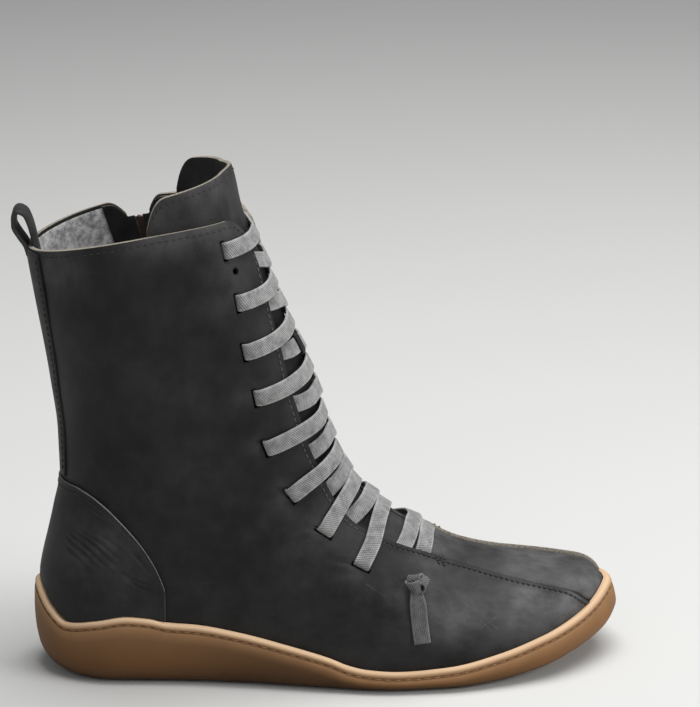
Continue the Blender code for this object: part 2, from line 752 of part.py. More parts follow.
def build_heel_counter():
    """Rows from the rim of the sole to the counter's edge, on columns that close up towards the back seam."""
    share = np.linspace(1, -1, COUNTER_COLUMNS)
    side = np.where(share < 0, -1.0, 1.0)
    tip = COUNTER_BACK + COUNTER_REACH - 2.0

    def place_at(height):
        back = back_line(height)
        return back + (tip - back) * share ** 2

    middle = place_at(COUNTER_BASE)
    low = rim_height(middle, side) + 0.6
    high = np.maximum(counter_edge(middle), low + 2.5)
    grid = []
    for part_way in np.linspace(0, 1, COUNTER_ROWS):
        height = low + part_way * (high - low)
        turn = turn_at_place(height, place_at(height), side)
        grid.append(off_surface(height, turn, np.full_like(turn, COUNTER_GAP + COUNTER_THICKNESS)))
    sheet_part("heel_counter", np.array(grid), COUNTER_THICKNESS * MM, LEATHER_LOOK)


def turn_beside_back(height, sideways):
    """Turn of the point near the back seam that lies this far to the side, negative to the outer side."""
    turns = np.linspace(0.6, 1.0, 161)
    widths = last_surface(height, turns)[:, 1]
    found = np.interp(abs(sideways), widths[::-1], turns[::-1])
    return found if sideways > 0 else -found


def build_backstay():
    grid = []
    for level in np.linspace(COUNTER_TOP + 2.0, COLLAR_BACK + 0.5, BACKSTAY_ROWS):
        places = np.linspace(1, -1, BACKSTAY_STRIPS) * backstay_half(level)
        turn = np.array([turn_beside_back(level, p) for p in places])
        offset = np.full_like(turn, COUNTER_GAP + COUNTER_THICKNESS)
        grid.append(off_surface(np.full_like(turn, level), turn, offset))
    sheet_part("backstay", np.array(grid), COUNTER_THICKNESS * MM, LEATHER_LOOK)


# Pull loop: side view of the strip's middle line, from the top of the back strip over into the boot
LOOP_COLUMNS = ("along", "height")
LOOP = np.array([
    (0.4, 197.4),
    (-2.2, 202.0),
    (-4.0, 207.0),
    (-3.4, 211.3),
    (-0.4, 212.9),
    (2.8, 210.8),
    (5.2, 205.0),
    (7.2, 197.0),
    (9.0, 186.0),
])
LOOP_WIDTH = 15.0
LOOP_THICKNESS = 1.5


def build_pull_loop():
    knots = np.arange(len(LOOP), dtype=float)
    share = np.linspace(0, len(LOOP) - 1, 3 * (len(LOOP) - 1) + 1)
    path = np.stack([
        smooth_curve(knots, LOOP[:, LOOP_COLUMNS.index("along")])(share),
        np.zeros_like(share),
        smooth_curve(knots, LOOP[:, LOOP_COLUMNS.index("height")])(share),
    ], 1)
    along = np.gradient(path, axis=0)
    normals = np.cross(along, (0, 1, 0))
    add_part("pull_loop", ribbon_mesh("pull_loop", path, normals, LOOP_WIDTH, LOOP_THICKNESS), LEATHER_LOOK)


# Zip: heights across the tape and its row of teeth, from the outside of the upper
TAPE_DEPTH = -1.0
TEETH_HEIGHT = -0.1
TAPE_UNDER = -2.1
TAPE_ROOM = 0.7
TEETH_HALF = 2.2
ZIP_STEPS = 24


def zip_turn(height, sideways):
    return turn_at_place(height, zip_place(height) + sideways * ZIP_SLANT, 1)


def build_zip_chain():
    half = ZIP_HALF - TAPE_ROOM
    section = (
        (-half, TAPE_UNDER),
        (-half, TAPE_DEPTH),
        (-TEETH_HALF, TAPE_DEPTH),
        (-TEETH_HALF + 0.4, TEETH_HEIGHT),
        (TEETH_HALF - 0.4, TEETH_HEIGHT),
        (TEETH_HALF, TAPE_DEPTH),
        (half, TAPE_DEPTH),
        (half, TAPE_UNDER),
    )
    heights = np.linspace(UPPER_LEVELS[ZIP_FIRST_ROW] + TAPE_ROOM, ZIP_TOP[1] - 1.0, ZIP_STEPS)
    points = []
    for sideways, offset in section:
        turn = zip_turn(heights, sideways)
        points.append(off_surface(heights, turn, np.full_like(heights, offset)))
    points = np.stack(points, 1)
    size = len(section)
    faces = loft_faces(ZIP_STEPS, size)
    faces += [tuple(range(size)), tuple(range((ZIP_STEPS - 1) * size, ZIP_STEPS * size))]
    add_part("zip_chain", mesh_of("zip_chain", points.reshape(-1, 3), faces), ZIP_LOOK)


# Zip slider and its pull tab, in the slider's own axes: x level along the boot, y up the wall, z outward
SLIDER_SIZE = (8.0, 10.0, 2.2)
SLIDER_LIFT = 0.4
POST_SIZE = (1.4, 3.0, 4.2)
POST_SPREAD = 5.6
PIN_RADIUS = 0.7
PIN_HEIGHT = 4.6
PULL_EYE = 2.0
PULL_HOLE = 1.1
PULL_WIDTH = 3.4
PULL_LENGTH = 22.0
PULL_THICKNESS = 1.4


def slider_frame():
    """Matrix, in metres, of the slider's middle on the teeth: level tangent, up the wall and outward."""
    turn = zip_turn(ZIP_SLIDER_HEIGHT, 0.0)
    out = surface_normal(ZIP_SLIDER_HEIGHT, turn)
    level = np.cross(out, (0, 0, 1))
    level /= np.linalg.norm(level)
    centre = last_surface(ZIP_SLIDER_HEIGHT, turn) + out * (TEETH_HEIGHT + SLIDER_LIFT)
    frame = Matrix.Identity(4)
    for column, axis in enumerate((-level, np.cross(out, -level), out)):
        for row in range(3):
            frame[row][column] = axis[row]
    frame.translation = Vector(to_metres(centre))
    return frame


def block(name, size, centre, frame, rounding=0.0):
    cage = bmesh.new()
    bmesh.ops.create_cube(cage, size=1.0)
    for vert in cage.verts:
        vert.co = Vector([v * s + c for v, s, c in zip(vert.co, size, centre)]) * MM
    if rounding:
        bmesh.ops.bevel(cage, geom=cage.edges, offset=rounding * MM, segments=1, affect="EDGES")
    mesh = bpy.data.meshes.new(name)
    cage.to_mesh(mesh)
    cage.free()
    helper = add_part(name, mesh, None, CUTTERS)
    helper.matrix_world = frame
    return helper


def rod(name, radius, length, centre, frame, sides=12):
    """A round bar along the slider's level axis."""
    cage = bmesh.new()
    bmesh.ops.create_cone(
        cage, cap_ends=True, segments=sides, radius1=radius * MM, radius2=radius * MM, depth=length * MM,
        matrix=Matrix.Translation(Vector(centre) * MM) @ Matrix.Rotation(math.radians(90), 4, "Y"),
    )
    mesh = bpy.data.meshes.new(name)
    cage.to_mesh(mesh)
    cage.free()
    helper = add_part(name, mesh, None, CUTTERS)
    helper.matrix_world = frame
    return helper


def join_helpers(name, first, others, look):
    """A part that starts as one helper's shape and takes in the others."""
    part = add_part(name, first.data.copy(), look)
    part.matrix_world = first.matrix_world
    for other, operation in others:
        boolean(part, operation, other)
    return part


def build_zip_slider():
    frame = slider_frame()
    depth = SLIDER_SIZE[2]
    body = block("slider_body", SLIDER_SIZE, (0, 0, depth / 2), frame, 0.6)
    joined = []
    for side in (-1, 1):
        post_centre = (side * POST_SPREAD / 2, 0, depth + POST_SIZE[2] / 2 - 0.6)
        joined.append((block(f"slider_post_{side}", POST_SIZE, post_centre, frame), "UNION"))
    joined.append((rod("slider_pin", PIN_RADIUS, POST_SPREAD, (0, 0, PIN_HEIGHT), frame), "UNION"))
    join_helpers("zip_slider", body, joined, METAL_LOOK)


def build_zip_pull():
    """The pull hangs plumb from the slider's pin, so its axes are level, up and level outward."""
    frame = slider_frame()
    pin = frame @ Vector((0, 0, PIN_HEIGHT * MM))
    level = frame.to_3x3().col[0]
    plumb = Matrix.Identity(4)
    for column, axis in enumerate((level, Vector((0, 0, 1)), level.cross(Vector((0, 0, 1))))):
        plumb.col[column][:3] = axis
    plumb.translation = pin
    eye = rod("pull_eye", PULL_EYE, PULL_WIDTH, (0, 0, 0), plumb, 16)
    tab_centre = (0, -PULL_LENGTH / 2 - PULL_HOLE, 0)
    tab = block("pull_tab", (PULL_WIDTH, PULL_LENGTH, PULL_THICKNESS), tab_centre, plumb, 0.35)
    hole = rod("pull_hole", PULL_HOLE, PULL_WIDTH + 4, (0, 0, 0), plumb, 16)
    join_helpers("zip_pull", eye, ((tab, "UNION"), (hole, "DIFFERENCE")), METAL_LOOK)


def build_lace_bars():
    """Bars from each slit across the throat, and the bottom bar; each lies on the end of the next, joined."""
    bars = bpy.data.collections.new("lace_bar_helpers")
    CUTTERS.children.link(bars)
    meshes = []
    for side, rows in ((-1, SLITS[:-1]), (1, inner_slits())):
        for row in rows:
            path, normals = bar_path(row, side)
            meshes.append(ribbon_mesh("lace_bar", path, normals, LACE_WIDTH, LACE_THICKNESS))
    ends = [throat_turn(BOTTOM_BAR_HEIGHT, side) for side in (-1, 1)]
    turns = np.linspace(ends[0], ends[1], 7)[1:-1]
    heights = np.full_like(turns, BOTTOM_BAR_HEIGHT)
    path = off_surface(heights, turns, np.full_like(turns, BOTTOM_BAR_LIFT))
    meshes.append(ribbon_mesh("lace_bar", path, surface_normal(heights, turns), LACE_WIDTH, LACE_THICKNESS))
    lace = add_part("lace_bars", meshes[0], LACE_LOOK)
    for mesh in meshes[1:]:
        helper = bpy.data.objects.new("lace_bar_helper", mesh)
        helper.hide_render = True
        helper.display_type = "WIRE"
        bars.objects.link(helper)
    boolean(lace, "UNION", bars)


KNOT_SIZE = (11.0, 9.0, 6.0)
KNOT_GAP = 0.4
END_LIFT = 2.2
END_DROP = 0.8
END_STEPS = 9
OUTER_END = (22.0, 174.5)
INNER_END = (178.0, 90.0)


def build_knot(place, end, side, name):
    """A knot pulled tight on the upper over its hole, and the free end that hangs from it along the upper."""
    height, along = place
    turn = turn_at_place(height, along, side)
    out = surface_normal(height, turn)
    level = np.cross(out, (0, 0, 1))
    level /= np.linalg.norm(level)
    centre = last_surface(height, turn) + out * (KNOT_SIZE[2] / 2 + 0.6)
    frame = Matrix.Identity(4)
    for column, axis in enumerate((level, np.cross(out, level), out)):
        for row in range(3):
            frame[row][column] = axis[row]
    frame.translation = Vector(to_metres(centre))
    cage = bmesh.new()
    bmesh.ops.create_uvsphere(cage, u_segments=12, v_segments=8, radius=0.5)
    for vert in cage.verts:
        vert.co = Vector([v * s for v, s in zip(vert.co, KNOT_SIZE)]) * MM
    mesh = bpy.data.meshes.new(f"lace_knot_{name}")
    cage.to_mesh(mesh)
    cage.free()
    knot = add_part(f"lace_knot_{name}", mesh, LACE_LOOK)
    knot.matrix_world = frame
    share = np.linspace(0, 1, END_STEPS)
    below = last_surface(height - 1, turn_at_place(height - 1, along, side))
    slope = np.linalg.norm(last_surface(height, turn) - below)
    top = height - (KNOT_SIZE[1] / 2 + KNOT_GAP) / slope
    heights = top + (end[0] - top) * share
    turns = turn_at_place(heights, along + (end[1] - along) * share, side)
    offset = END_LIFT - END_DROP * ramp(0, 0.6, share)
    path = off_surface(heights, turns, offset)
    strip = ribbon_mesh(f"lace_end_{name}", path, surface_normal(heights, turns), LACE_WIDTH, LACE_THICKNESS)
    add_part(f"lace_end_{name}", strip, LACE_LOOK)


# Keeper loop on the tongue: a band round one bar of the lace
KEEPER_ROW = 2
KEEPER_SIDE = -6.0
KEEPER_BAND = 5.0
KEEPER_THICKNESS = 0.8
KEEPER_ROOM = 0.4
KEEPER_DEPTH_ROOM = 0.9


def build_tongue_loop():
    """A band of leather round one bar of the lace at the middle of the throat."""
    path, normals = bar_path(inner_slits()[KEEPER_ROW], 1, 25)
    centre = int(np.argmin(np.abs(path[:, 1] - KEEPER_SIDE)))
    across_bar = path[centre + 1] - path[centre - 1]
    across_bar /= np.linalg.norm(across_bar)
    out = normals[centre]
    up = np.cross(out, across_bar)
    axes = np.stack([across_bar, up / np.linalg.norm(up), out], 1)
    hollow = np.array((KEEPER_BAND + 4, LACE_WIDTH + 2 * KEEPER_ROOM, LACE_THICKNESS + 2 * KEEPER_DEPTH_ROOM))
    band = hollow + np.array((-4, 2 * KEEPER_THICKNESS, 2 * KEEPER_THICKNESS))
    outside = mesh_of("keeper", box_points(path[centre], axes, band), BOX_FACES)
    inside = mesh_of("keeper_hollow", box_points(path[centre], axes, hollow), BOX_FACES)
    loop = add_part("tongue_loop", outside, LEATHER_LOOK)
    boolean(loop, "DIFFERENCE", add_part("keeper_hollow", inside, None, CUTTERS))


build_outsole()
build_insole()
build_upper()
build_tongue()
build_heel_counter()
build_backstay()
build_pull_loop()
build_zip_chain()
build_zip_slider()
build_zip_pull()
build_lace_bars()
build_knot(OUTER_KNOT, OUTER_END, -1, "outer")
build_knot(INNER_KNOT, INNER_END, 1, "inner")
build_tongue_loop()
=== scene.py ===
import math

import bmesh
import bpy
import numpy as np
from mathutils import Matrix, Vector


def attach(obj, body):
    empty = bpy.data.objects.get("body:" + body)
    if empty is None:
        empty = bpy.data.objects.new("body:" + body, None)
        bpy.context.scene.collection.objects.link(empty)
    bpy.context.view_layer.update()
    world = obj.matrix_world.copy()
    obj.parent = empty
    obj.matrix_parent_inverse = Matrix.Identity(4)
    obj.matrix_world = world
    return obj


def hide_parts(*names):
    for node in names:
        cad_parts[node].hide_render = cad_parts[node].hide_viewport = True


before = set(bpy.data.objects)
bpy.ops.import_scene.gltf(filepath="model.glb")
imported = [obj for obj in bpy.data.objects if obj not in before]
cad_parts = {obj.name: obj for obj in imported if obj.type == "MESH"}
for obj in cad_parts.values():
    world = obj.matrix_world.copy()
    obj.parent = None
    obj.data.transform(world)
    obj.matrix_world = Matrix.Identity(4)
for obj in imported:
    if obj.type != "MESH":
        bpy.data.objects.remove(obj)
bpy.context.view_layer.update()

# Studio
# The boot stands on a wide pale floor under one large soft light overhead, with a weak light at the camera's
# side and a low one in front of the toe. A long lens sees it from a little above, nearly square to its side.
CAMERA_AZIMUTH = math.radians(-2.0)
CAMERA_ELEVATION = math.radians(17.0)
CAMERA_DISTANCE = 1.5
FOCAL_PIXELS = 3300.0
IMAGE_SIZE = (700, 707)
HEEL_POINT = Vector((-0.045, 0.0, 0.032))
HEEL_PIXEL = (33.5, 592.0)

camera_right = Vector((math.cos(CAMERA_AZIMUTH), math.sin(CAMERA_AZIMUTH), 0.0))
camera_back = Vector((
    math.sin(CAMERA_AZIMUTH) * math.cos(CAMERA_ELEVATION),
    -math.cos(CAMERA_AZIMUTH) * math.cos(CAMERA_ELEVATION),
    math.sin(CAMERA_ELEVATION),
))
camera_up = camera_back.cross(camera_right)
heel_right = (HEEL_PIXEL[0] - IMAGE_SIZE[0] / 2) / FOCAL_PIXELS * CAMERA_DISTANCE
heel_up = (IMAGE_SIZE[1] / 2 - HEEL_PIXEL[1]) / FOCAL_PIXELS * CAMERA_DISTANCE
camera_place = HEEL_POINT - camera_right * heel_right - camera_up * heel_up + camera_back * CAMERA_DISTANCE
camera = bpy.data.objects.new("camera", bpy.data.cameras.new("camera"))
camera.data.lens = 36.0 * FOCAL_PIXELS / max(IMAGE_SIZE)
camera.matrix_world = Matrix((camera_right, camera_up, camera_back)).transposed().to_4x4()
camera.location = camera_place
bpy.context.scene.collection.objects.link(camera)
bpy.context.scene.camera = camera


def node(tree, kind, settings=None, **inputs):
    """A shader node with its settings, and its inputs set to values or linked to sockets."""
    made = tree.nodes.new("ShaderNode" + kind)
    for name, value in (settings or {}).items():
        setattr(made, name, value)
    for name, value in inputs.items():
        socket = made.inputs[int(name[1:])] if name[1:].isdigit() else made.inputs[name.replace("_", " ")]
        if isinstance(value, bpy.types.NodeSocket):
            tree.links.new(value, socket)
        else:
            socket.default_value = value
    return made


def finish_of(name, **inputs):
    """A material with a Principled shader, its constant values set on the shader itself."""
    material = bpy.data.materials.new(name)
    material.use_nodes = True
    shader = material.node_tree.nodes["Principled BSDF"]
    for key, value in inputs.items():
        shader.inputs[key.replace("_", " ")].default_value = value
    return material, material.node_tree, shader


def two_tone(tree, value, dark, light, low=0.0, high=1.0):
    """A colour that goes from dark to light as a value goes from low to high."""
    made = node(tree, "ValToRGB", Fac=value)
    for stop, place, tint in zip(made.color_ramp.elements, (low, high), (dark, light)):
        stop.position = place
        stop.color = (*tint, 1)
    return made.outputs["Color"]


FLOOR_REACH, FLOOR_DROP = 4.0, -0.0003
floor_mesh = bpy.data.meshes.new("floor")
floor_corners = [
    (x * FLOOR_REACH, y * FLOOR_REACH, FLOOR_DROP) for x, y in ((-1, -1), (1, -1), (1, 1), (-1, 1))
]
floor_mesh.from_pydata(floor_corners, [], [(0, 1, 2, 3)])
floor = bpy.data.objects.new("floor", floor_mesh)
bpy.context.scene.collection.objects.link(floor)
floor_finish, tree, shader = finish_of("pale_floor", Roughness=0.85)
floor_speckle = node(tree, "TexNoise", Scale=9.0, Detail=3.0)
floor_tint = two_tone(tree, floor_speckle.outputs["Fac"], (0.60, 0.60, 0.585), (0.66, 0.66, 0.645))
tree.links.new(floor_tint, shader.inputs["Base Color"])
floor_mesh.materials.append(floor_finish)


def soft_light(name, place, target, size, power):
    light = bpy.data.lights.new(name, "AREA")
    light.shape = "RECTANGLE"
    light.size, light.size_y = size
    light.energy = power
    lamp = bpy.data.objects.new(name, light)
    lamp.location = place
    lamp.rotation_mode = "QUATERNION"
    lamp.rotation_quaternion = (Vector(target) - Vector(place)).to_track_quat("-Z", "Y")
    bpy.context.scene.collection.objects.link(lamp)


soft_light("light_overhead", (0.35, 0.10, 1.5), (0.06, 0.0, 0.08), (1.2, 1.2), 26.0)
soft_light("light_camera_side", (-0.7, -1.6, 1.1), (0.06, 0.0, 0.1), (1.2, 1.2), 3.0)
soft_light("light_toe_side", (1.5, -0.8, 0.8), (0.15, 0.0, 0.05), (0.8, 0.8), 13.0)
world = bpy.data.worlds.new("studio")
world.use_nodes = True
world.node_tree.nodes["Background"].inputs["Color"].default_value = (0.95, 0.97, 1.0, 1)
world.node_tree.nodes["Background"].inputs["Strength"].default_value = 0.22
bpy.context.scene.world = world
bpy.context.scene.view_settings.view_transform = "Standard"

# Upper
# Waxed cowhide, 2 mm thick, lasted over the foot. Two quarters that run from toe to collar are lapped over a
# narrow panel down the middle of the vamp and sewn to it. The cut edges are raw at collar, throat and zip.
MM = 0.001
HEEL_MIDDLE = 45.0
LEVEL_COLUMNS = ("height", "back", "front", "toe_round", "heel_round", "half_width")
LEVELS = np.array([
    (0, 9.0, 259.0, 30, 34, 33.0),
    (10, 6.5, 261.5, 30, 34, 33.0),
    (20, 5.0, 262.5, 30, 34, 33.0),
    (28, 4.6, 261.5, 26, 34, 33.0),
    (34, 4.6, 259.8, 16, 34, 33.0),
    (38, 4.8, 256.8, 10, 34, 33.0),
    (41, 5.0, 251.3, 6.5, 34, 33.0),
    (44, 5.2, 236.0, 4, 34, 33.0),
    (48, 5.8, 209.5, 3, 34, 33.0),
    (54, 7.0, 190.0, 3, 35, 33.0),
    (62, 9.0, 178.0, 3, 36, 33.0),
    (74, 12.0, 159.5, 3, 39, 33.0),
    (88, 14.6, 145.0, 3, 44, 33.0),
    (110, 14.2, 135.0, 3, 50, 34.5),
    (135, 11.2, 127.5, 3, 52, 37.5),
    (170, 6.0, 113.5, 3, 52, 40.5),
    (197, 1.8, 103.5, 3, 52, 41.8),
    (216, -1.5, 96.5, 3, 52, 42.5),
    (245, -6.0, 86.0, 3, 52, 43.0),
])
PLAN_COLUMNS = ("along", "outer", "inner")
PLAN = np.array([
    (0, 29.0, 29.0),
    (35, 30.5, 30.0),
    (70, 32.5, 29.5),
    (100, 36.5, 29.5),
    (135, 42.5, 34.5),
    (165, 46.0, 42.0),
    (185, 46.0, 45.5),
    (210, 43.0, 45.0),
    (235, 36.5, 40.5),
    (250, 31.0, 35.0),
    (264, 25.0, 28.0),
])
THROAT_COLUMNS = ("height", "outer", "inner")
THROAT = np.array([
    (20, -4.0, 14.5),
    (26.5, -8.7, 17.0),
    (30.7, -12.4, 18.0),
    (35, -15.1, 18.0),
    (39.8, -16.4, 17.0),
    (43.2, -15.9, 16.0),
    (47.2, -15.5, 15.2),
    (51.3, -16.9, 16.0),
    (54.7, -19.0, 17.5),
    (60, -21.5, 19.3),
    (75, -22.0, 20.0),
    (91, -23.0, 20.5),
    (109, -25.0, 21.0),
    (130, -25.0, 22.5),
    (152, -23.0, 22.0),
    (172, -19.7, 19.0),
    (191, -16.0, 16.0),
    (212, -15.0, 15.0),
])
SOLE_LENGTH = 268.0
HEEL_SEAT, FORE_SEAT = 13.0, 5.5
SEAT_SLOPE = (35, 150)
TOE_SPRING, TOE_SPRING_START, TOE_SPRING_POWER = 13.0, 192.0, 1.8
CREST_STEEPNESS = 2.76
ROOT_DEPTH = 6.0
ARCH_POWER_FOOT, ARCH_POWER_LEG = 2.4, 4.0
ARCH_SQUARING = (60, 200)
FOOT_TO_LEG = (40, 85)
TOE_SWING, TOE_SWING_SPAN = 7.0, (150, 262)
TOE_SKEW, TOE_SKEW_SPAN = 0.16, (190, 262)
COLLAR_TOP, COLLAR_BACK, COLLAR_RISE, COLLAR_BEND = 212.0, 195.5, 0.30, 0.0013
COLLAR_START = 110.0
CORNER_RADIUS, ZIP_CORNER = 12.0, 8.0
FEATHER_LIFT, FEATHER_END = 0.6, 46.0
LEATHER = 2.0
ZIP_TOP, ZIP_BOTTOM, ZIP_HALF = (48.0, 207.0), (99.0, 48.0), 5.2


def ramp(start, end, value):
    share = np.clip((np.asarray(value, float) - start) / (end - start), 0, 1)
    return share * share * (3 - 2 * share)


def smooth_curve(knots, values):
    """A curve through a table's points that never overshoots them, and runs on straight past its ends."""
    knots = np.asarray(knots, float)
    values = np.asarray(values, float)
    steps = np.diff(knots)
    slopes = np.diff(values) / steps
    tangents = np.concatenate([slopes[:1], np.zeros(len(knots) - 2), slopes[-1:]])
    for i in range(1, len(knots) - 1):
        if slopes[i - 1] * slopes[i] > 0:
            before = 2 * steps[i] + steps[i - 1]
            after = steps[i] + 2 * steps[i - 1]
            tangents[i] = (before + after) / (before / slopes[i - 1] + after / slopes[i])

    def value_at(place):
        place = np.asarray(place, float)
        i = np.clip(np.searchsorted(knots, place) - 1, 0, len(knots) - 2)
        free = (place - knots[i]) / steps[i]
        t = np.clip(free, 0, 1)
        inside = (
            values[i] * (1 + 2 * t) * (1 - t) ** 2
            + steps[i] * tangents[i] * t * (1 - t) ** 2
            + values[i + 1] * t * t * (3 - 2 * t)
            + steps[i] * tangents[i + 1] * t * t * (t - 1)
        )
        end_tangent = np.where(free < 0, tangents[i], tangents[i + 1])
        return inside + steps[i] * end_tangent * (free - t)

    return value_at


def table_curve(table, columns, name):
    return smooth_curve(table[:, 0], table[:, columns.index(name)])


back_line, front_line, toe_round, heel_round, leg_half_width = (
    table_curve(LEVELS, LEVEL_COLUMNS, name) for name in LEVEL_COLUMNS[1:]
)
plan_outer, plan_inner = (table_curve(PLAN, PLAN_COLUMNS, name) for name in PLAN_COLUMNS[1:])
throat_outer, throat_inner = (table_curve(THROAT, THROAT_COLUMNS, name) for name in THROAT_COLUMNS[1:])
CREST_HEIGHTS = np.linspace(LEVELS[2, 0], LEVELS[-1, 0], 1200)
CREST_PLACES = front_line(CREST_HEIGHTS)


def crest_height(along):
    on_line = np.interp(-along, -CREST_PLACES, CREST_HEIGHTS)
    return on_line + np.clip(CREST_PLACES[-1] - along, 0, None) * CREST_STEEPNESS


def toe_lift(along):
    share = np.clip((along - TOE_SPRING_START) / (SOLE_LENGTH - TOE_SPRING_START), 0, None)
    return TOE_SPRING * share ** TOE_SPRING_POWER


def seat_height(along):
    return FORE_SEAT + (HEEL_SEAT - FORE_SEAT) * (1 - ramp(*SEAT_SLOPE, along)) + toe_lift(along)


def last_surface(height, turn):
    """The outside of the upper, in millimetres from the back of the heel. turn runs from -1 at the back,
    round the outer side to 0 in front, and on round the inner side to 1 at the back."""
    height, turn = np.broadcast_arrays(np.asarray(height, float), np.asarray(turn, float))
    turn = np.mod(turn + 1, 2) - 1
    side = np.where(turn < 0, -1.0, 1.0)
    back = back_line(height)
    front = front_line(height)
    along = back + (front - back) * (1 + np.cos(np.pi * turn)) / 2
    base = np.minimum(seat_height(along) - ROOT_DEPTH, height)
    share = np.clip((height - base) / np.maximum(crest_height(along) - base, 1e-6), 0, 1)
    power = ARCH_POWER_FOOT + (ARCH_POWER_LEG - ARCH_POWER_FOOT) * ramp(*ARCH_SQUARING, height)
    arch = np.sqrt(np.clip(1 - share ** power, 0, 1))
    foot_half = np.where(side < 0, plan_outer(along), plan_inner(along))
    leg_share = ramp(*FOOT_TO_LEG, height)
    half = foot_half * (1 - leg_share) + leg_half_width(height) * leg_share
    heel_end = np.clip((along - back) / heel_round(height), 0, 1)
    toe_end = np.clip((front - along) / toe_round(height), 0, 1)
    ends = np.sqrt((1 - (1 - heel_end) ** 2) * (1 - (1 - toe_end) ** 2))
    sideways = side * half * arch * ends
    middle = TOE_SWING * ramp(*TOE_SWING_SPAN, along)
    skew = TOE_SKEW * ramp(*TOE_SKEW_SPAN, along)
    return np.stack([along + skew * sideways, middle + sideways, height], -1)


def unit(vectors):
    """The same directions, at length one."""
    return vectors / np.maximum(np.linalg.norm(vectors, axis=-1, keepdims=True), 1e-9)


def surface_normal(height, turn):
    height, turn = np.broadcast_arrays(np.asarray(height, float), np.asarray(turn, float))
    round_step = last_surface(height, turn + 0.002) - last_surface(height, turn - 0.002)
    up_step = last_surface(height + 0.2, turn) - last_surface(height - 0.2, turn)
    return unit(np.cross(round_step, up_step))


def off_surface(height, turn, offset):
    lift = surface_normal(height, turn) * np.asarray(offset, float)[..., None]
    return last_surface(height, turn) + lift


def turn_at_place(height, along, side):
    back = back_line(height)
    share = np.clip((along - back) / (front_line(height) - back), 0, 1)
    return side * np.arccos(np.clip(2 * share - 1, -1, 1)) / np.pi


def turn_at_width(height, sideways):
    turns = np.linspace(-0.6, 0.6, 481)
    heights = np.atleast_1d(np.asarray(height, float))
    widths = np.broadcast_to(sideways, heights.shape)
    found = [np.interp(w, last_surface(h, turns)[:, 1], turns) for h, w in zip(heights, widths)]
    return np.array(found).reshape(np.shape(height))


def throat_turn(height, side, back_by=0.0):
    """Turn of the throat's edge, or of lines this far behind it."""
    edge = throat_outer if side < 0 else throat_inner
    return turn_at_width(height, edge(height) + side * back_by)


def front_levels(count, lowest, highest):
    heights = np.linspace(lowest, highest, 800)
    steps = np.hypot(np.diff(heights), np.diff(front_line(heights)))
    length = np.concatenate([[0], np.cumsum(steps)])
    return np.interp(np.linspace(0, length[-1], count), length, heights)


def collar_height(along):
    return COLLAR_BACK + COLLAR_RISE * along - COLLAR_BEND * along ** 2


def zip_place(height):
    share = (height - ZIP_BOTTOM[1]) / (ZIP_TOP[1] - ZIP_BOTTOM[1])
    return ZIP_BOTTOM[0] + share * (ZIP_TOP[0] - ZIP_BOTTOM[0])


ZIP_SLANT = math.hypot(1.0, (ZIP_TOP[0] - ZIP_BOTTOM[0]) / (ZIP_TOP[1] - ZIP_BOTTOM[1]))


def zip_turn(height, sideways):
    return turn_at_place(height, zip_place(height) + sideways * ZIP_SLANT, 1)


def upper_heights(level, turn):
    """Heights of one row of the upper: the low rows follow the sole and the high ones the collar."""
    flat = last_surface(np.full_like(turn, level), turn)
    edges = [last_surface(level, throat_turn(level, side)) for side in (-1, 1)]
    corner = np.minimum(*(np.linalg.norm(flat - edge, axis=1) for edge in edges))
    drop = 0.9 * CORNER_RADIUS * np.clip(1 - corner / CORNER_RADIUS, 0, 1) ** 2
    corner = np.linalg.norm(flat - last_surface(level, zip_turn(level, 0.0)), axis=1) - ZIP_HALF
    drop = np.maximum(drop, 0.9 * ZIP_CORNER * np.clip(1 - corner / ZIP_CORNER, 0, 1) ** 2)
    low_share = 1 - ramp(FORE_SEAT, FEATHER_END, level)
    top_share = ramp(COLLAR_START, COLLAR_TOP, level)
    height = np.full_like(turn, level)
    for _ in range(4):
        along = last_surface(height, turn)[:, 0]
        height = level + low_share * (seat_height(along) + FEATHER_LIFT - FORE_SEAT)
        height += top_share * (collar_height(along) - drop - COLLAR_TOP)
    return height


def distance_to_path(along, height, path):
    """Distance from each point to a path drawn on the side of the boot, and how far along the path it is."""
    best = np.full(np.shape(along), 1e9)
    share = np.zeros(np.shape(along))
    path = np.asarray(path, float)
    for i in range(len(path) - 1):
        leg = path[i + 1] - path[i]
        t = np.clip(((along - path[i, 0]) * leg[0] + (height - path[i, 1]) * leg[1]) / (leg @ leg), 0, 1)
        gap = np.hypot(along - path[i, 0] - t * leg[0], height - path[i, 1] - t * leg[1])
        share = np.where(gap < best, (i + t) / (len(path) - 1), share)
        best = np.minimum(best, gap)
    return best, share


def crease(along, height, path, half_width, depth):
    """A soft trough along a path, with a low ridge on each side, fading out at its ends."""
    gap, share = distance_to_path(along, height, path)
    fade = np.sin(np.pi * np.clip(share, 0.02, 0.98)) ** 0.7
    trough = np.exp(-((gap / half_width) ** 2))
    ridge = np.exp(-(((gap - 1.9 * half_width) / half_width) ** 2))
    return depth * fade * (0.45 * ridge - trough)


SLIT_COLUMNS = ("height", "along", "middle")
SLITS = np.array([
    (199.8, 89.4, 202.6),
    (176.8, 95.0, 180.5),
    (155.0, 97.7, 161.9),
    (133.8, 102.4, 141.0),
    (110.2, 106.7, 119.8),
    (87.6, 117.1, 100.8),
    (70.6, 131.8, 86.5),
    (55.4, 148.1, 74.3),
    (43.5, 161.5, 59.0),
])
LOW_SLITS = SLITS[3:8]
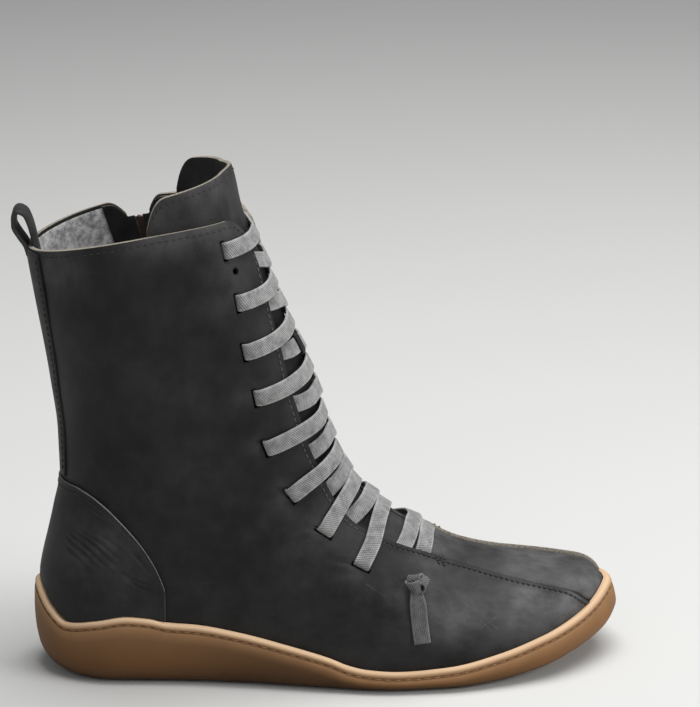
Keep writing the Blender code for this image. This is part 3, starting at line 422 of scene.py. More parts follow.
# Folds worked into the leather by walking, and puckers behind the low slits: side, path along and up the
# boot, half width and depth
UPPER_FOLDS = (
    (-1, ((82, 101), (98, 99), (116, 95)), 1.8, 0.30),
    (-1, ((102, 92), (116, 90), (128, 85)), 1.6, 0.28),
    (-1, ((40, 104), (58, 100), (74, 101)), 3.0, 0.30),
    (-1, ((60, 128), (82, 124), (98, 127)), 3.4, 0.25),
    (-1, ((150, 40), (158, 32), (161, 22)), 2.4, 0.25),
    (-1, ((196, 38), (192, 30), (190, 20)), 2.6, 0.22),
    (1, ((60, 174), (76, 170), (93, 173)), 1.8, 0.55),
    (1, ((66, 184), (80, 181), (95, 184)), 2.2, 0.40),
    (1, ((70, 160), (84, 156), (100, 159)), 2.4, 0.35),
    (1, ((84, 118), (98, 114), (112, 118)), 2.6, 0.40),
    (1, ((104, 98), (116, 91), (130, 84)), 2.0, 0.50),
    (1, ((108, 84), (120, 76), (134, 68)), 2.2, 0.40),
    (1, ((40, 108), (54, 103), (70, 106)), 3.0, 0.35),
    (1, ((150, 40), (158, 30), (160, 20)), 2.4, 0.25),
    *((-1, ((a - 13, h + 3), (a - 7, h + 1.5), (a - 1, h + 1)), 1.1, 0.30) for h, a, _ in LOW_SLITS),
    *((-1, ((a - 10, h - 3), (a - 5, h - 3), (a - 1, h - 2)), 1.0, 0.24) for h, a, _ in LOW_SLITS),
)


def upper_form(height, turn, points):
    """How far the leather stands off its last: slack waves on the leg, and the folds."""
    along = points[..., 0]
    side = np.where(turn < 0, -1.0, 1.0)
    leg = ramp(60, 110, height)
    waves = np.sin(along / 17.0 + height / 23.0 + side) * np.sin(height / 19.0 - along / 41.0)
    form = 0.32 * leg * waves + 0.12 * np.sin(along / 9.0 - height / 7.0 + 2 * side) * ramp(20, 60, height)
    for fold_side, path, half_width, depth in UPPER_FOLDS:
        form = form + np.where(side == fold_side, crease(along, height, path, half_width, depth), 0.0)
    return form


def boot_place(points):
    """Metres in the boot's own frame."""
    points = np.array(points, float)
    points[..., 0] -= HEEL_MIDDLE
    return points * MM


def piece_of(name, points, faces, *finishes, turn_out=True):
    """A new piece from points in millimetres, with coinciding points made one."""
    cage = bmesh.new()
    verts = [cage.verts.new(p) for p in boot_place(points)]
    for face in faces:
        cage.faces.new([verts[i] for i in face])
    bmesh.ops.remove_doubles(cage, verts=cage.verts, dist=2e-7)
    bmesh.ops.dissolve_degenerate(cage, edges=cage.edges, dist=1e-7)
    bmesh.ops.delete(cage, geom=[v for v in cage.verts if not v.link_faces], context="VERTS")
    if turn_out:
        bmesh.ops.recalc_face_normals(cage, faces=cage.faces)
    mesh = bpy.data.meshes.new(name)
    cage.to_mesh(mesh)
    cage.free()
    for finish in finishes:
        mesh.materials.append(finish)
    mesh.shade_smooth()
    piece = bpy.data.objects.new(name, mesh)
    bpy.context.scene.collection.objects.link(piece)
    return piece


def grid_faces(rows, columns, left_out=()):
    faces = []
    for r in range(rows - 1):
        for c in range(columns - 1):
            if (r, c) not in left_out:
                a = r * columns + c
                faces.append((a, a + 1, a + columns + 1, a + columns))
    return faces


def gridded(points, gaps=()):
    """Points and faces of a sheet over a grid of points."""
    return points.reshape(-1, 3), grid_faces(*points.shape[:2], gaps)


def thicken(piece, thickness, edge_round):
    """Gives a sheet its thickness inward, with its cut edges in the second finish and a little rounded."""
    wall = piece.modifiers.new("wall", "SOLIDIFY")
    wall.thickness = thickness * MM
    wall.offset = -1
    wall.use_quality_normals = True
    wall.material_offset_rim = 1
    rounding = piece.modifiers.new("rounding", "BEVEL")
    rounding.width = edge_round * MM
    rounding.segments = 2
    rounding.limit_method = "ANGLE"
    rounding.angle_limit = math.radians(50)


def settle(piece, sharp_angle=40):
    """Makes a piece's modifiers part of its mesh."""
    seen = piece.evaluated_get(bpy.context.evaluated_depsgraph_get())
    mesh = bpy.data.meshes.new_from_object(seen)
    piece.modifiers.clear()
    piece.data = mesh
    mesh.shade_smooth()
    mesh.set_sharp_from_angle(angle=math.radians(sharp_angle))


def hand_in(piece, body, slot, *nodes):
    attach(piece, body)
    if nodes:
        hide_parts(*nodes)


def group_of(name, inputs, outputs):
    """An empty shader node group with its sockets: names to socket types."""
    group = bpy.data.node_groups.new(name, "ShaderNodeTree")
    for socket, (kind, value) in inputs.items():
        made = group.interface.new_socket(name=socket, in_out="INPUT", socket_type=kind)
        made.default_value = value
    for socket, kind in outputs.items():
        group.interface.new_socket(name=socket, in_out="OUTPUT", socket_type=kind)
    return group, group.nodes.new("NodeGroupInput"), group.nodes.new("NodeGroupOutput")


def maths(tree, operation, first, second=0.0):
    return node(tree, "Math", {"operation": operation}, _0=first, _1=second).outputs[0]


def spread(tree, value, low, high, to_low=0.0, to_high=1.0):
    """Maps a range of values to another, held at its ends."""
    made = node(tree, "MapRange", None, Value=value)
    for name, number in (("From Min", low), ("From Max", high), ("To Min", to_low), ("To Max", to_high)):
        made.inputs[name].default_value = number
    return made.outputs["Result"]


def blend_colour(tree, share, first, second):
    made = node(tree, "Mix", {"data_type": "RGBA"}, _0=share, _6=first, _7=second)
    return made.outputs[2]


def place_in(tree):
    return node(tree, "TexCoord").outputs["Object"]


def painted(tree, name):
    """A value that paint_share gave to the piece."""
    return node(tree, "Attribute", {"attribute_name": name}).outputs["Fac"]


def noise(tree, where, scale, detail, roughness=0.5):
    made = node(tree, "TexNoise", Vector=where, Scale=scale, Detail=detail, Roughness=roughness)
    return made.outputs["Fac"]


def roughen(tree, shader, height, strength, distance):
    bump = node(tree, "Bump", Height=height, Strength=strength, Distance=distance)
    tree.links.new(bump.outputs[0], shader.inputs["Normal"])


# Waxed leather is clouded by the wax and rubbed lighter where it was buffed, and the same lightening paints a
# highlight on the toe and along the top of the vamp. It has fine pores, small wrinkles and scuffs. The vamp
# has a
# few pale scratches on its outer side: both ends of each, along and up the boot
SCRATCHES = (
    ((194.5, 36.5), (210, 25)),
    ((200.5, 25.5), (210, 30)),
    ((201.5, 29), (207, 24.5)),
    ((222, 38), (229, 33)),
    ((150, 48), (158, 43)),
)
SCRATCH_HALF, SCRATCH_SHARE = 0.5, 0.30
waxed, waxed_in, waxed_out = group_of(
    "waxed_leather",
    {
        "Buffed": ("NodeSocketFloat", 0.0),
        "Dark": ("NodeSocketColor", (0.016, 0.016, 0.017, 1)),
        "Light": ("NodeSocketColor", (0.085, 0.085, 0.086, 1)),
    },
    {"Color": "NodeSocketColor", "Roughness": "NodeSocketFloat", "Height": "NodeSocketFloat"},
)
where = place_in(waxed)
cloud = noise(waxed, where, 24.0, 5.0, 0.6)
patch = noise(waxed, where, 95.0, 4.0, 0.65)
pores = node(waxed, "TexVoronoi", {"feature": "SMOOTH_F1"}, Vector=where, Scale=820.0).outputs["Distance"]
fibre = noise(waxed, where, 2600.0, 2.0)
wrinkle = node(waxed, "TexVoronoi", {"feature": "DISTANCE_TO_EDGE"}, Vector=where, Scale=190.0)
wrinkle_line = spread(waxed, wrinkle.outputs["Distance"], 0.0, 0.06)
scuff_place = node(waxed, "Mapping", Vector=where, Scale=(60.0, 60.0, 900.0), Rotation=(0.3, 0.9, 0.2))
scuff_line = spread(waxed, noise(waxed, scuff_place.outputs[0], 1.0, 2.0), 0.66, 0.74)
cloud_share = spread(waxed, cloud, 0.36, 0.68)
rubbed_and_lit = maths(waxed, "MULTIPLY", waxed_in.outputs["Buffed"], maths(waxed, "ADD", cloud_share, 0.45))
rubbed_and_lit = maths(waxed, "ADD", rubbed_and_lit, maths(waxed, "MULTIPLY", cloud_share, 0.10))
rubbed_and_lit = maths(waxed, "ADD", rubbed_and_lit, maths(waxed, "MULTIPLY", scuff_line, 0.03))
for ends in SCRATCHES:
    first, last = (last_surface(up, turn_at_place(up, along, -1)) for along, up in ends)
    first, last = boot_place((first, last))
    reach = float(np.linalg.norm(last - first))
    way = tuple((last - first) / reach)
    from_first = node(waxed, "VectorMath", {"operation": "SUBTRACT"}, _0=where, _1=tuple(first)).outputs[0]
    part = node(waxed, "VectorMath", {"operation": "DOT_PRODUCT"}, _0=from_first, _1=way).outputs["Value"]
    nearest = node(waxed, "VectorMath", {"operation": "SCALE"}, _0=way)
    waxed.links.new(spread(waxed, part, 0.0, reach, 0.0, reach), nearest.inputs["Scale"])
    gap = node(waxed, "VectorMath", {"operation": "DISTANCE"}, _0=from_first, _1=nearest.outputs[0])
    mark = spread(waxed, gap.outputs["Value"], SCRATCH_HALF * MM, 0.0, 0.0, SCRATCH_SHARE)
    rubbed_and_lit = maths(waxed, "ADD", rubbed_and_lit, maths(waxed, "MULTIPLY", mark, patch))
rubbed_and_lit = node(waxed, "Clamp", Value=rubbed_and_lit).outputs[0]
tone = blend_colour(waxed, rubbed_and_lit, waxed_in.outputs["Dark"], waxed_in.outputs["Light"])
shade = spread(waxed, patch, 0.3, 0.7, 0.66, 1.34)
shaded = node(waxed, "VectorMath", {"operation": "SCALE"}, _0=tone)
waxed.links.new(shade, shaded.inputs["Scale"])
waxed.links.new(shaded.outputs[0], waxed_out.inputs["Color"])
gloss = spread(waxed, patch, 0.3, 0.7, 0.50, 0.66)
gloss = maths(waxed, "ADD", gloss, maths(waxed, "MULTIPLY", rubbed_and_lit, -0.06))
waxed.links.new(gloss, waxed_out.inputs["Roughness"])
grain = maths(waxed, "ADD", maths(waxed, "MULTIPLY", pores, 0.55), maths(waxed, "MULTIPLY", fibre, 0.30))
grain = maths(waxed, "ADD", grain, maths(waxed, "MULTIPLY", wrinkle_line, 0.20))
waxed.links.new(grain, waxed_out.inputs["Height"])


def leather_finish(name, dark, light):
    material, tree, shader = finish_of(name, Specular_IOR_Level=0.22)
    # The lightening is real buffing, and a painted highlight on the toe and along the top of the vamp
    buffed = painted(tree, "buffed")
    skin = node(tree, "Group", {"node_tree": waxed}, Buffed=buffed, Dark=(*dark, 1), Light=(*light, 1))
    tree.links.new(skin.outputs["Color"], shader.inputs["Base Color"])
    tree.links.new(skin.outputs["Roughness"], shader.inputs["Roughness"])
    roughen(tree, shader, skin.outputs["Height"], 0.30, 0.0004)
    return material


def fibre_finish(name, dark, light, scale, detail, span, roughness):
    """Fine open fibres in two tints."""
    material, tree, shader = finish_of(name, Roughness=roughness)
    fibres = noise(tree, place_in(tree), scale, detail)
    tree.links.new(two_tone(tree, fibres, dark, light, *span), shader.inputs["Base Color"])
    roughen(tree, shader, fibres, 0.4, 0.0002)
    return material


def raw_edge_finish(name, dark, light):
    """The cut edge of leather."""
    return fibre_finish(name, dark, light, 1400.0, 3.0, (0.35, 0.65), 0.85)


upper_leather = leather_finish("upper_leather", (0.0078, 0.0078, 0.0082), (0.115, 0.114, 0.115))
raw_edge = raw_edge_finish("raw_edge", (0.15, 0.13, 0.105), (0.36, 0.32, 0.265))
dyed_edge = raw_edge_finish("dyed_edge", (0.012, 0.012, 0.012), (0.03, 0.03, 0.03))

# Where the leather was buffed pale, and where a highlight is painted on the toe and along the top of the
# vamp:
# side (0 both), place along and up the boot, half sizes, strength
BUFFED_AND_HIGHLIGHT_PLACES = (
    (-1, 246, 31, 16, 8, 1.50),
    (-1, 222, 33, 22, 12, 0.90),
    (-1, 198, 34, 20, 12, 0.70),
    (-1, 176, 44, 16, 9, 0.42),
    (0, 226, 44, 40, 6, 0.55),
    (1, 236, 34, 24, 12, 0.80),
    (1, 196, 34, 22, 14, 0.50),
    (0, 182, 55, 14, 9, 0.42),
    (-1, 78, 208, 44, 8, 0.32),
    (-1, 96, 192, 14, 16, 0.26),
    (-1, 14, 194, 14, 14, 0.26),
    (1, 76, 205, 34, 12, 0.30),
    (-1, 118, 150, 14, 44, 0.14),
    (-1, 138, 70, 18, 12, 0.14),
    (1, 150, 60, 22, 18, 0.40),
    (-1, 12, 130, 12, 50, 0.14),
    *((-1, a - 3, h + 1, 7, 6, 0.24) for h, a, _ in LOW_SLITS),
)


def buffed_and_highlight_share(points, side):
    share = np.zeros(points.shape[:-1])
    for where_side, along, up, half_along, half_up, strength in BUFFED_AND_HIGHLIGHT_PLACES:
        gap = ((points[..., 0] - along) / half_along) ** 2 + ((points[..., 2] - up) / half_up) ** 2
        on_side = 1.0 if where_side == 0 else (side == where_side)
        share = np.maximum(share, strength * np.exp(-gap) * on_side)
    return share


def paint_share(piece, name, points, values):
    """Gives each vertex of a piece the value of the point it was made from."""
    places = boot_place(points.reshape(-1, 3)).astype(np.float32)
    lookup = dict(zip(map(tuple, places.tolist()), values.ravel()))
    layer = piece.data.attributes.new(name, "FLOAT", "POINT")
    for vert, item in zip(piece.data.vertices, layer.data):
        item.value = lookup.get(tuple(vert.co), 0.0)


def sheet_of(name, points, thickness, edge_round, *finishes, gaps=(), buffing_and_painted_light=None):
    """A sheet over a grid of points, with its thickness, and how much lighter each point is: buffed, with
    painted highlight and painted shade where given.
    """
    sheet = piece_of(name, *gridded(points, gaps), *finishes, turn_out=False)
    if buffing_and_painted_light is not None:
        paint_share(sheet, "buffed", points, buffing_and_painted_light)
    thicken(sheet, thickness, edge_round)
    return sheet


UPPER_ROWS = 118
OUTER_COLUMNS, VAMP_COLUMNS, FRONT_COLUMNS, BACK_COLUMNS = 124, 28, 76, 46
EDGE_COLUMNS, EDGE_STEP = 18, 0.45
SEAM_INSET = 2.8
LAP_RISE, LAP_REACH, LAP_GAP, LAP_END = 1.2, 5.0, 0.15, (58, 72)
SEWN_DEPTH, SEWN_REACH = 0.30, 0.8
CORNER_STAND, CORNER_STAND_SPAN = 2.4, (186, 204)
CREVICE_DEPTH, CREVICE_REACH = 1.4, 1.7
# Painted shade at the lapped seams: the lightening is taken away at a quarter's edge, along its stitch line
# and in the vamp's crevice beside it, so these read darker
EDGE_PAINTED_SHADE, EDGE_PAINTED_SHADE_REACH = 0.9, 0.8
SEAM_PAINTED_SHADE, SEAM_PAINTED_SHADE_REACH, CREVICE_PAINTED_SHADE = 0.7, 0.6, 1.4
UPPER_EDGE_ROUND = 0.35
VAMP_TOP, VAMP_DIP, VAMP_DIP_SPAN = 68.0, 5.0, (168, 184)


def quarter_edge(level, side):
    """Turns at a quarter's front edge on one row of the upper: just off the edge, and from it back."""
    height = level
    for _ in range(3):
        turn = throat_turn(height, side)
        height = float(upper_heights(level, np.array([turn]))[0])
    steps = np.concatenate([[-LAP_GAP], np.arange(EDGE_COLUMNS) * EDGE_STEP])
    turns = throat_turn(np.full(len(steps), height), side, steps)
    return turns[0], turns[1:]


upper_levels = front_levels(UPPER_ROWS, FORE_SEAT, COLLAR_TOP)
upper_points = []
upper_normals = []
upper_turns = []
upper_unshaded = []
for level in upper_levels:
    (outer_off, outer_edge), (inner_off, inner_edge) = (quarter_edge(level, side) for side in (-1, 1))
    vamp_bend = np.sin(np.linspace(-1, 1, VAMP_COLUMNS + 1) * np.pi / 2)
    turn = np.concatenate([
        np.linspace(-1, outer_edge[-1], OUTER_COLUMNS + 2 - EDGE_COLUMNS)[:-1],
        outer_edge[::-1],
        outer_off + (inner_off - outer_off) * (1 + vamp_bend) / 2,
        inner_edge,
        np.linspace(inner_edge[-1], zip_turn(level, ZIP_HALF), FRONT_COLUMNS + 2 - EDGE_COLUMNS)[1:],
        np.linspace(zip_turn(level, -ZIP_HALF), 1, BACK_COLUMNS + 1),
    ])
    height = upper_heights(level, turn)
    flat = last_surface(height, turn)
    form = upper_form(height, turn, flat)
    unshaded_share = np.ones_like(turn)
    vamp = slice(OUTER_COLUMNS + 1, OUTER_COLUMNS + VAMP_COLUMNS + 2)
    panels = ((slice(0, vamp.start), vamp.start - 1, 0.0), (slice(vamp.stop, None), vamp.stop, CORNER_STAND))
    for panel, edge, stand in panels:
        from_edge = np.linalg.norm(flat[panel] - flat[edge], axis=1)
        form[panel] += LAP_RISE * np.exp(-((from_edge / LAP_REACH) ** 2)) * (1 - ramp(*LAP_END, level))
        form[panel] -= SEWN_DEPTH * np.exp(-(((from_edge - SEAM_INSET) / SEWN_REACH) ** 2))
        form[panel] += stand * np.exp(-((from_edge / CORNER_RADIUS) ** 2)) * ramp(*CORNER_STAND_SPAN, level)
        from_lap = np.linalg.norm(flat[vamp] - flat[edge], axis=1)
        form[vamp] -= CREVICE_DEPTH * np.exp(-((from_lap / CREVICE_REACH) ** 2))
        # Painted shade at the edge, along the stitch line and in the crevice
        unshaded_share[panel] -= EDGE_PAINTED_SHADE * np.exp(-((from_edge / EDGE_PAINTED_SHADE_REACH) ** 2))
        unshaded_share[panel] -= SEAM_PAINTED_SHADE * np.exp(-(((from_edge - SEAM_INSET) / SEAM_PAINTED_SHADE_REACH) ** 2))
        unshaded_share[vamp] -= CREVICE_PAINTED_SHADE * np.exp(-((from_lap / CREVICE_REACH) ** 2))
    form[vamp] -= VAMP_DIP * (1 - ramp(*VAMP_DIP_SPAN, flat[vamp, 0]))
    upper_points.append(off_surface(height, turn, form))
    upper_normals.append(surface_normal(height, turn))
    upper_turns.append(turn)
    upper_unshaded.append(np.clip(unshaded_share, 0, 1))
upper_points = np.array(upper_points)
upper_normals = np.array(upper_normals)
upper_turns = np.array(upper_turns)
zip_first_row = int(np.searchsorted(upper_levels, ZIP_BOTTOM[1]))
vamp_last_row = int(np.searchsorted(upper_levels, VAMP_TOP))
inner_column = OUTER_COLUMNS + VAMP_COLUMNS + 2
zip_column = inner_column + FRONT_COLUMNS
upper_gaps = {(r, column) for r in range(UPPER_ROWS) for column in (OUTER_COLUMNS, inner_column - 1)}
upper_gaps |= {(r, zip_column) for r in range(zip_first_row, UPPER_ROWS)}
vamp_columns = range(OUTER_COLUMNS + 1, inner_column - 1)
upper_gaps |= {(r, c) for r in range(vamp_last_row, UPPER_ROWS) for c in vamp_columns}
# The buffing and painted highlight, less the painted shade along the lapped seams
upper_buffing_and_painted_light = buffed_and_highlight_share(upper_points, np.where(upper_turns < 0, -1, 1)) * np.array(upper_unshaded)
upper = sheet_of(
    "upper_leather", upper_points, LEATHER, UPPER_EDGE_ROUND, upper_leather, raw_edge, dyed_edge,
    gaps=upper_gaps, buffing_and_painted_light=upper_buffing_and_painted_light)

# The lace's slits and holes are punched through both panels
INNER_SLIT_DROP, TOP_STRAP_DROP = 1.4, 2.6
far_rise = smooth_curve((60, 85, 100, 120, 140, 160, 180, 203), (-5.0, -5.0, -4.0, -2.0, 0.3, 2.5, 4.2, 5.5))
STRAIGHT_SPAN = (100, 150)
BAR_END_ROOM = 1.6
SLIT_LENGTH, SLIT_WIDTH, SLIT_DEPTH = 9.2, 2.3, 9.0
HOLE_RADIUS = 1.5
OUTER_KNOT, INNER_KNOT, PUNCH_HOLE = (45.8, 171.7), (201.5, 84.5), (190.4, 93.4)


def inner_slits():
    rows = (SLITS[:-1] + SLITS[1:]) / 2
    for name in ("height", "middle"):
        rows[:, SLIT_COLUMNS.index(name)] -= INNER_SLIT_DROP
    rows[0, SLIT_COLUMNS.index("middle")] -= TOP_STRAP_DROP
    return rows


def strap_course(row, side, share):
    """Heights and turns of one strap of the lace, from its slit (0) to the far edge of the throat (1)."""
    height, along, middle = row
    far = middle + far_rise(middle)
    start = turn_at_place(height, along, side)
    edge = throat_inner if side < 0 else throat_outer
    end = turn_at_width(far, edge(far) + side * BAR_END_ROOM)
    centre = turn_at_width(middle, (throat_outer(middle) + throat_inner(middle)) / 2)
    crossing = (centre - start) / (end - start)
    slack = smooth_curve((0, crossing, 1), (height, middle, far))(share)
    before = np.clip(1 - share / crossing, 0, None) ** 2
    beyond = np.clip((share - crossing) / (1 - crossing), 0, None) ** 1.7
    taut = middle + (height - middle) * before + (far - middle) * beyond
    heights = taut + (slack - taut) * ramp(*STRAIGHT_SPAN, middle)
    return heights, start + (end - start) * share


def slit_axes(row, side):
    """Middle of a slit on the upper, and its axes: along the lace, along the slit, outward."""
    heights, turns = strap_course(row, side, np.array([0.0, 0.14]))
    ends = last_surface(heights, turns)
    out = surface_normal(heights[0], turns[0])
    along = ends[1] - ends[0]
    along = unit(along - out * np.dot(along, out))
    return ends[0], along, np.cross(out, along), out


def prism(outline, centre, first, second, out, depth):
    """Points and faces of a straight punch with this outline."""
    ring = [centre + a * first + b * second for a, b in outline]
    points = [p - out * depth / 2 for p in ring] + [p + out * depth / 2 for p in ring]
    n = len(ring)
    faces = [tuple(range(n))[::-1], tuple(range(n, 2 * n))]
    faces += [(i, (i + 1) % n, n + (i + 1) % n, n + i) for i in range(n)]
    return points, faces


def circle(count):
    """Points evenly round a circle of radius one."""
    angles = np.linspace(0, 2 * np.pi, count + 1)[:-1]
    return np.stack([np.cos(angles), np.sin(angles)], 1)


def joined(forms):
    """Points and faces of several forms as one."""
    points = []
    faces = []
    for form_points, form_faces in forms:
        faces += [tuple(len(points) + i for i in face) for face in form_faces]
        points += list(form_points)
    return np.array(points), faces


slit_outline = [(a * SLIT_WIDTH / 2, b * SLIT_LENGTH / 2) for a, b in ((-1, -1), (1, -1), (1, 1), (-1, 1))]
hole_outline = HOLE_RADIUS * circle(16)
punches = []
for slit_side, slit_rows in ((-1, SLITS[:-1]), (1, inner_slits())):
    for row in slit_rows:
        centre, along, across, out = slit_axes(row, slit_side)
        punches.append(prism(slit_outline, centre - along * SLIT_WIDTH / 2, along, across, out, SLIT_DEPTH))
for (height, place), side in ((OUTER_KNOT, -1), (INNER_KNOT, 1), (PUNCH_HOLE, -1)):
    turn = turn_at_place(height, place, side)
    out = surface_normal(height, turn)
    level = unit(np.cross((0, 0, 1), out))
    centre = last_surface(height, turn)
    punches.append(prism(hole_outline, centre, level, np.cross(out, level), out, SLIT_DEPTH))
punch = piece_of("punch", *joined(punches), dyed_edge)
cut = upper.modifiers.new("slits", "BOOLEAN")
cut.operation = "DIFFERENCE"
cut.solver = "EXACT"
cut.object = punch
settle(upper)
bpy.data.objects.remove(punch, do_unlink=True)
hand_in(upper, "boot", "leather", "upper")

# Lining
# A grey brushed textile, glued to the flesh side of the leather from the collar down, behind the slits.
# Beside the zip it is covered by a strip of dark leather that is sewn through with the zip's tape.
LINING_DEPTH, LINING_THICKNESS = 2.08, 0.35
LINING_ROWS, LINING_OUTER, LINING_FRONT, LINING_BACK = 64, 60, 34, 24
LINING_BEHIND_SLITS = 9.0
LINING_BELOW_COLLAR, LINING_BESIDE_ZIP = 1.6, 8.0
INSIDE_EDGE_ROUND = 0.1
FACING_DEPTH, FACING_THICKNESS, FACING_WIDTH, FACING_LAP, FACING_COLUMNS = 2.62, 0.5, 10.0, 3.4, 10
lining_cloth, tree, shader = finish_of("lining_cloth", Roughness=0.95, Sheen_Weight=0.3, Sheen_Roughness=0.5)
where = place_in(tree)
cloth_patch = noise(tree, where, 260.0, 5.0, 0.7)
cloth_tint = two_tone(tree, cloth_patch, (0.17, 0.17, 0.175), (0.58, 0.58, 0.57), 0.38, 0.62)
tree.links.new(cloth_tint, shader.inputs["Base Color"])
roughen(tree, shader, noise(tree, where, 1900.0, 3.0), 0.5, 0.0003)
slit_line = smooth_curve(SLITS[::-1, 0], SLITS[::-1, 1])


def inside_sheet(name, turns_of, levels, depth, thickness, gaps, *finishes):
    """A sheet on the inside of the upper, on rows of turns."""
    rows = []
    for level in levels:
        turn = turns_of(level)
        height = upper_heights(level, turn)
        form = upper_form(height, turn, last_surface(height, turn))
        rows.append(off_surface(height, turn, form - depth))
    sheet = sheet_of(name, np.array(rows), thickness, INSIDE_EDGE_ROUND, *finishes, gaps=gaps)
    settle(sheet)
    return sheet


def lining_turns(level):
    front = [turn_at_place(level, slit_line(level) - LINING_BEHIND_SLITS, side) for side in (-1, 1)]
    return np.concatenate([
        np.linspace(-1, front[0], LINING_OUTER + 1),
        np.linspace(front[1], zip_turn(level, ZIP_HALF + LINING_BESIDE_ZIP), LINING_FRONT + 1),
        np.linspace(zip_turn(level, -ZIP_HALF - LINING_BESIDE_ZIP), 1, LINING_BACK + 1),
    ])


lining_levels = np.linspace(FORE_SEAT + 3, COLLAR_TOP - LINING_BELOW_COLLAR, LINING_ROWS)
lining_gaps = {(r, LINING_OUTER) for r in range(LINING_ROWS)}
lining_gaps |= {
    (r, LINING_OUTER + 1 + LINING_FRONT)
    for r in range(int(np.searchsorted(lining_levels, ZIP_BOTTOM[1])), LINING_ROWS)
}
lining = inside_sheet(
    "lining", lining_turns, lining_levels, LINING_DEPTH, LINING_THICKNESS, lining_gaps,
    lining_cloth, lining_cloth)
hand_in(lining, "boot", "lining")


def facing_turns(level):
    return np.concatenate([
        zip_turn(level, np.linspace(ZIP_HALF + FACING_WIDTH, ZIP_HALF - FACING_LAP, FACING_COLUMNS)),
        zip_turn(level, np.linspace(FACING_LAP - ZIP_HALF, -ZIP_HALF - FACING_WIDTH, FACING_COLUMNS)),
    ])


facing_levels = np.linspace(ZIP_BOTTOM[1] + 1.0, COLLAR_TOP - LINING_BELOW_COLLAR / 2, LINING_ROWS)
facing = inside_sheet(
    "zip_facing", facing_turns, facing_levels, FACING_DEPTH, FACING_THICKNESS,
    {(r, FACING_COLUMNS - 1) for r in range(LINING_ROWS)}, upper_leather, raw_edge)
hand_in(facing, "boot", "leather")

# Insole
# A board cut to the last, covered with the same grey textile, lying loose on the seat of the sole.
# Its edge is rounded over where the cloth is turned in.
INSOLE_POINTS = 180
INSOLE_INSET = -(LEATHER + 2.8)
INSOLE_EDGE = ((0.4, 0.0), (2.4, 0.0), (3.1, -0.12), (3.6, -0.45), (3.9, -1.0), (4.0, -1.8))
INSOLE_RUNGS = 14
PLAN_HEIGHT = 16.0


def ring_turns(count):
    """Turns once round the boot, the same on both sides, from the back and round to just before it."""
    half = np.linspace(-1, 0, count // 2 + 1)
    return np.concatenate([half, -half[-2:0:-1]])


def contour_offset(height, turn, offset):
    """A point beside the last's contour at this height, moved level and square to it."""
    step = last_surface(height, turn + 0.002) - last_surface(height, turn - 0.002)
    level = np.stack([step[..., 1], -step[..., 0], np.zeros_like(step[..., 0])], -1)
    return last_surface(height, turn) + unit(level) * np.asarray(offset, float)[..., None]


def loft_faces(ring_count, size):
    faces = []
    for r in range(ring_count - 1):
        for c in range(size):
            d = (c + 1) % size
            faces.append((r * size + c, r * size + d, (r + 1) * size + d, (r + 1) * size + c))
    return faces


def lofted(rings):
    """Points and faces of a closed form through rings of points."""
    rings = np.asarray(rings)
    steps, size = rings.shape[:2]
    caps = [tuple(range(size))[::-1], tuple((steps - 1) * size + i for i in range(size))]
    return rings.reshape(-1, 3), loft_faces(steps, size) + caps


def rungs(ring, count):
    """Rows of points across a ring of ring_turns, each from the outer side to the same place inside."""
    half = len(ring) // 2
    share = np.linspace(0, 1, count)[:, None]
    fellows = np.concatenate([ring[:1], ring[:half - 1:-1]])
    return np.array([a + (b - a) * share for a, b in zip(ring[:half + 1], fellows)])


insole_turns = ring_turns(INSOLE_POINTS)
insole_along = last_surface(np.full_like(insole_turns, PLAN_HEIGHT), insole_turns)[:, 0]
insole_rings = []
for lift, inset in INSOLE_EDGE:
    insets = np.full_like(insole_turns, INSOLE_INSET + inset)
    ring = contour_offset(seat_height(insole_along) + 2.5, insole_turns, insets)
    ring[:, 2] = seat_height(ring[:, 0]) + lift
    insole_rings.append(ring)
insole_top = rungs(insole_rings[-1], INSOLE_RUNGS)
insole_top[..., 2] = seat_height(insole_top[..., 0]) + INSOLE_EDGE[-1][0]
insole_bottom = rungs(insole_rings[0], INSOLE_RUNGS)
insole_bottom[..., 2] = seat_height(insole_bottom[..., 0]) + INSOLE_EDGE[0][0]
insole_edge = (np.concatenate(insole_rings), loft_faces(len(insole_rings), INSOLE_POINTS))
insole_forms = [insole_edge, gridded(insole_top), gridded(insole_bottom)]
insole = piece_of("insole_sock", *joined(insole_forms), lining_cloth)
settle(insole)
hand_in(insole, "boot", "lining", "insole")

# Outsole
# One moulded cup of natural gum rubber that reaches up round the heel, the inner arch and the toe. A rounded
# bead runs round its lip, with a sewn groove under it, and a highlight is painted along the top of the lip.
# The wall is darker towards the tread, partly worn and partly painted shade, and painted shade darkens the
# groove and the wall at the heel and the middle of the foot.
SOLE_POINTS = 420
RIM_COLUMNS = ("along", "outer", "inner")
RIM = np.array([
    (0, 46.0, 46.0),
    (6, 39.3, 39.3),
    (11, 32.0, 32.0),
    (18, 27.0, 27.5),
    (30, 29.3, 29.5),
    (44, 31.8, 32.0),
    (54, 31.0, 34.5),
    (62, 29.2, 36.5),
    (76, 28.2, 38.0),
    (94, 25.3, 37.5),
    (111, 21.4, 33.0),
    (133, 15.6, 21.0),
    (142, 12.2, 17.0),
    (150, 10.6, 14.0),
    (165, 9.8, 10.8),
    (187, 11.0, 10.8),
    (210, 14.8, 13.8),
    (233, 20.8, 19.8),
    (250, 26.6, 26.6),
    (262, 33.2, 33.2),
])
HEEL_BEVEL, HEEL_BEVEL_END = 5.0, 24.0
ARCH_LIFT, ARCH_SPAN = 2.5, ((75, 95), (125, 145))
RIM_THICKNESS, GROOVE_DEPTH, SOLE_GAP = 3.8, 0.7, 0.4
BEAD_MOST, BEAD_SHARE = 2.6, 0.26
EDGE_MOST, EDGE_SHARE = 10.0, 0.42
SOLE_RUNGS = 24
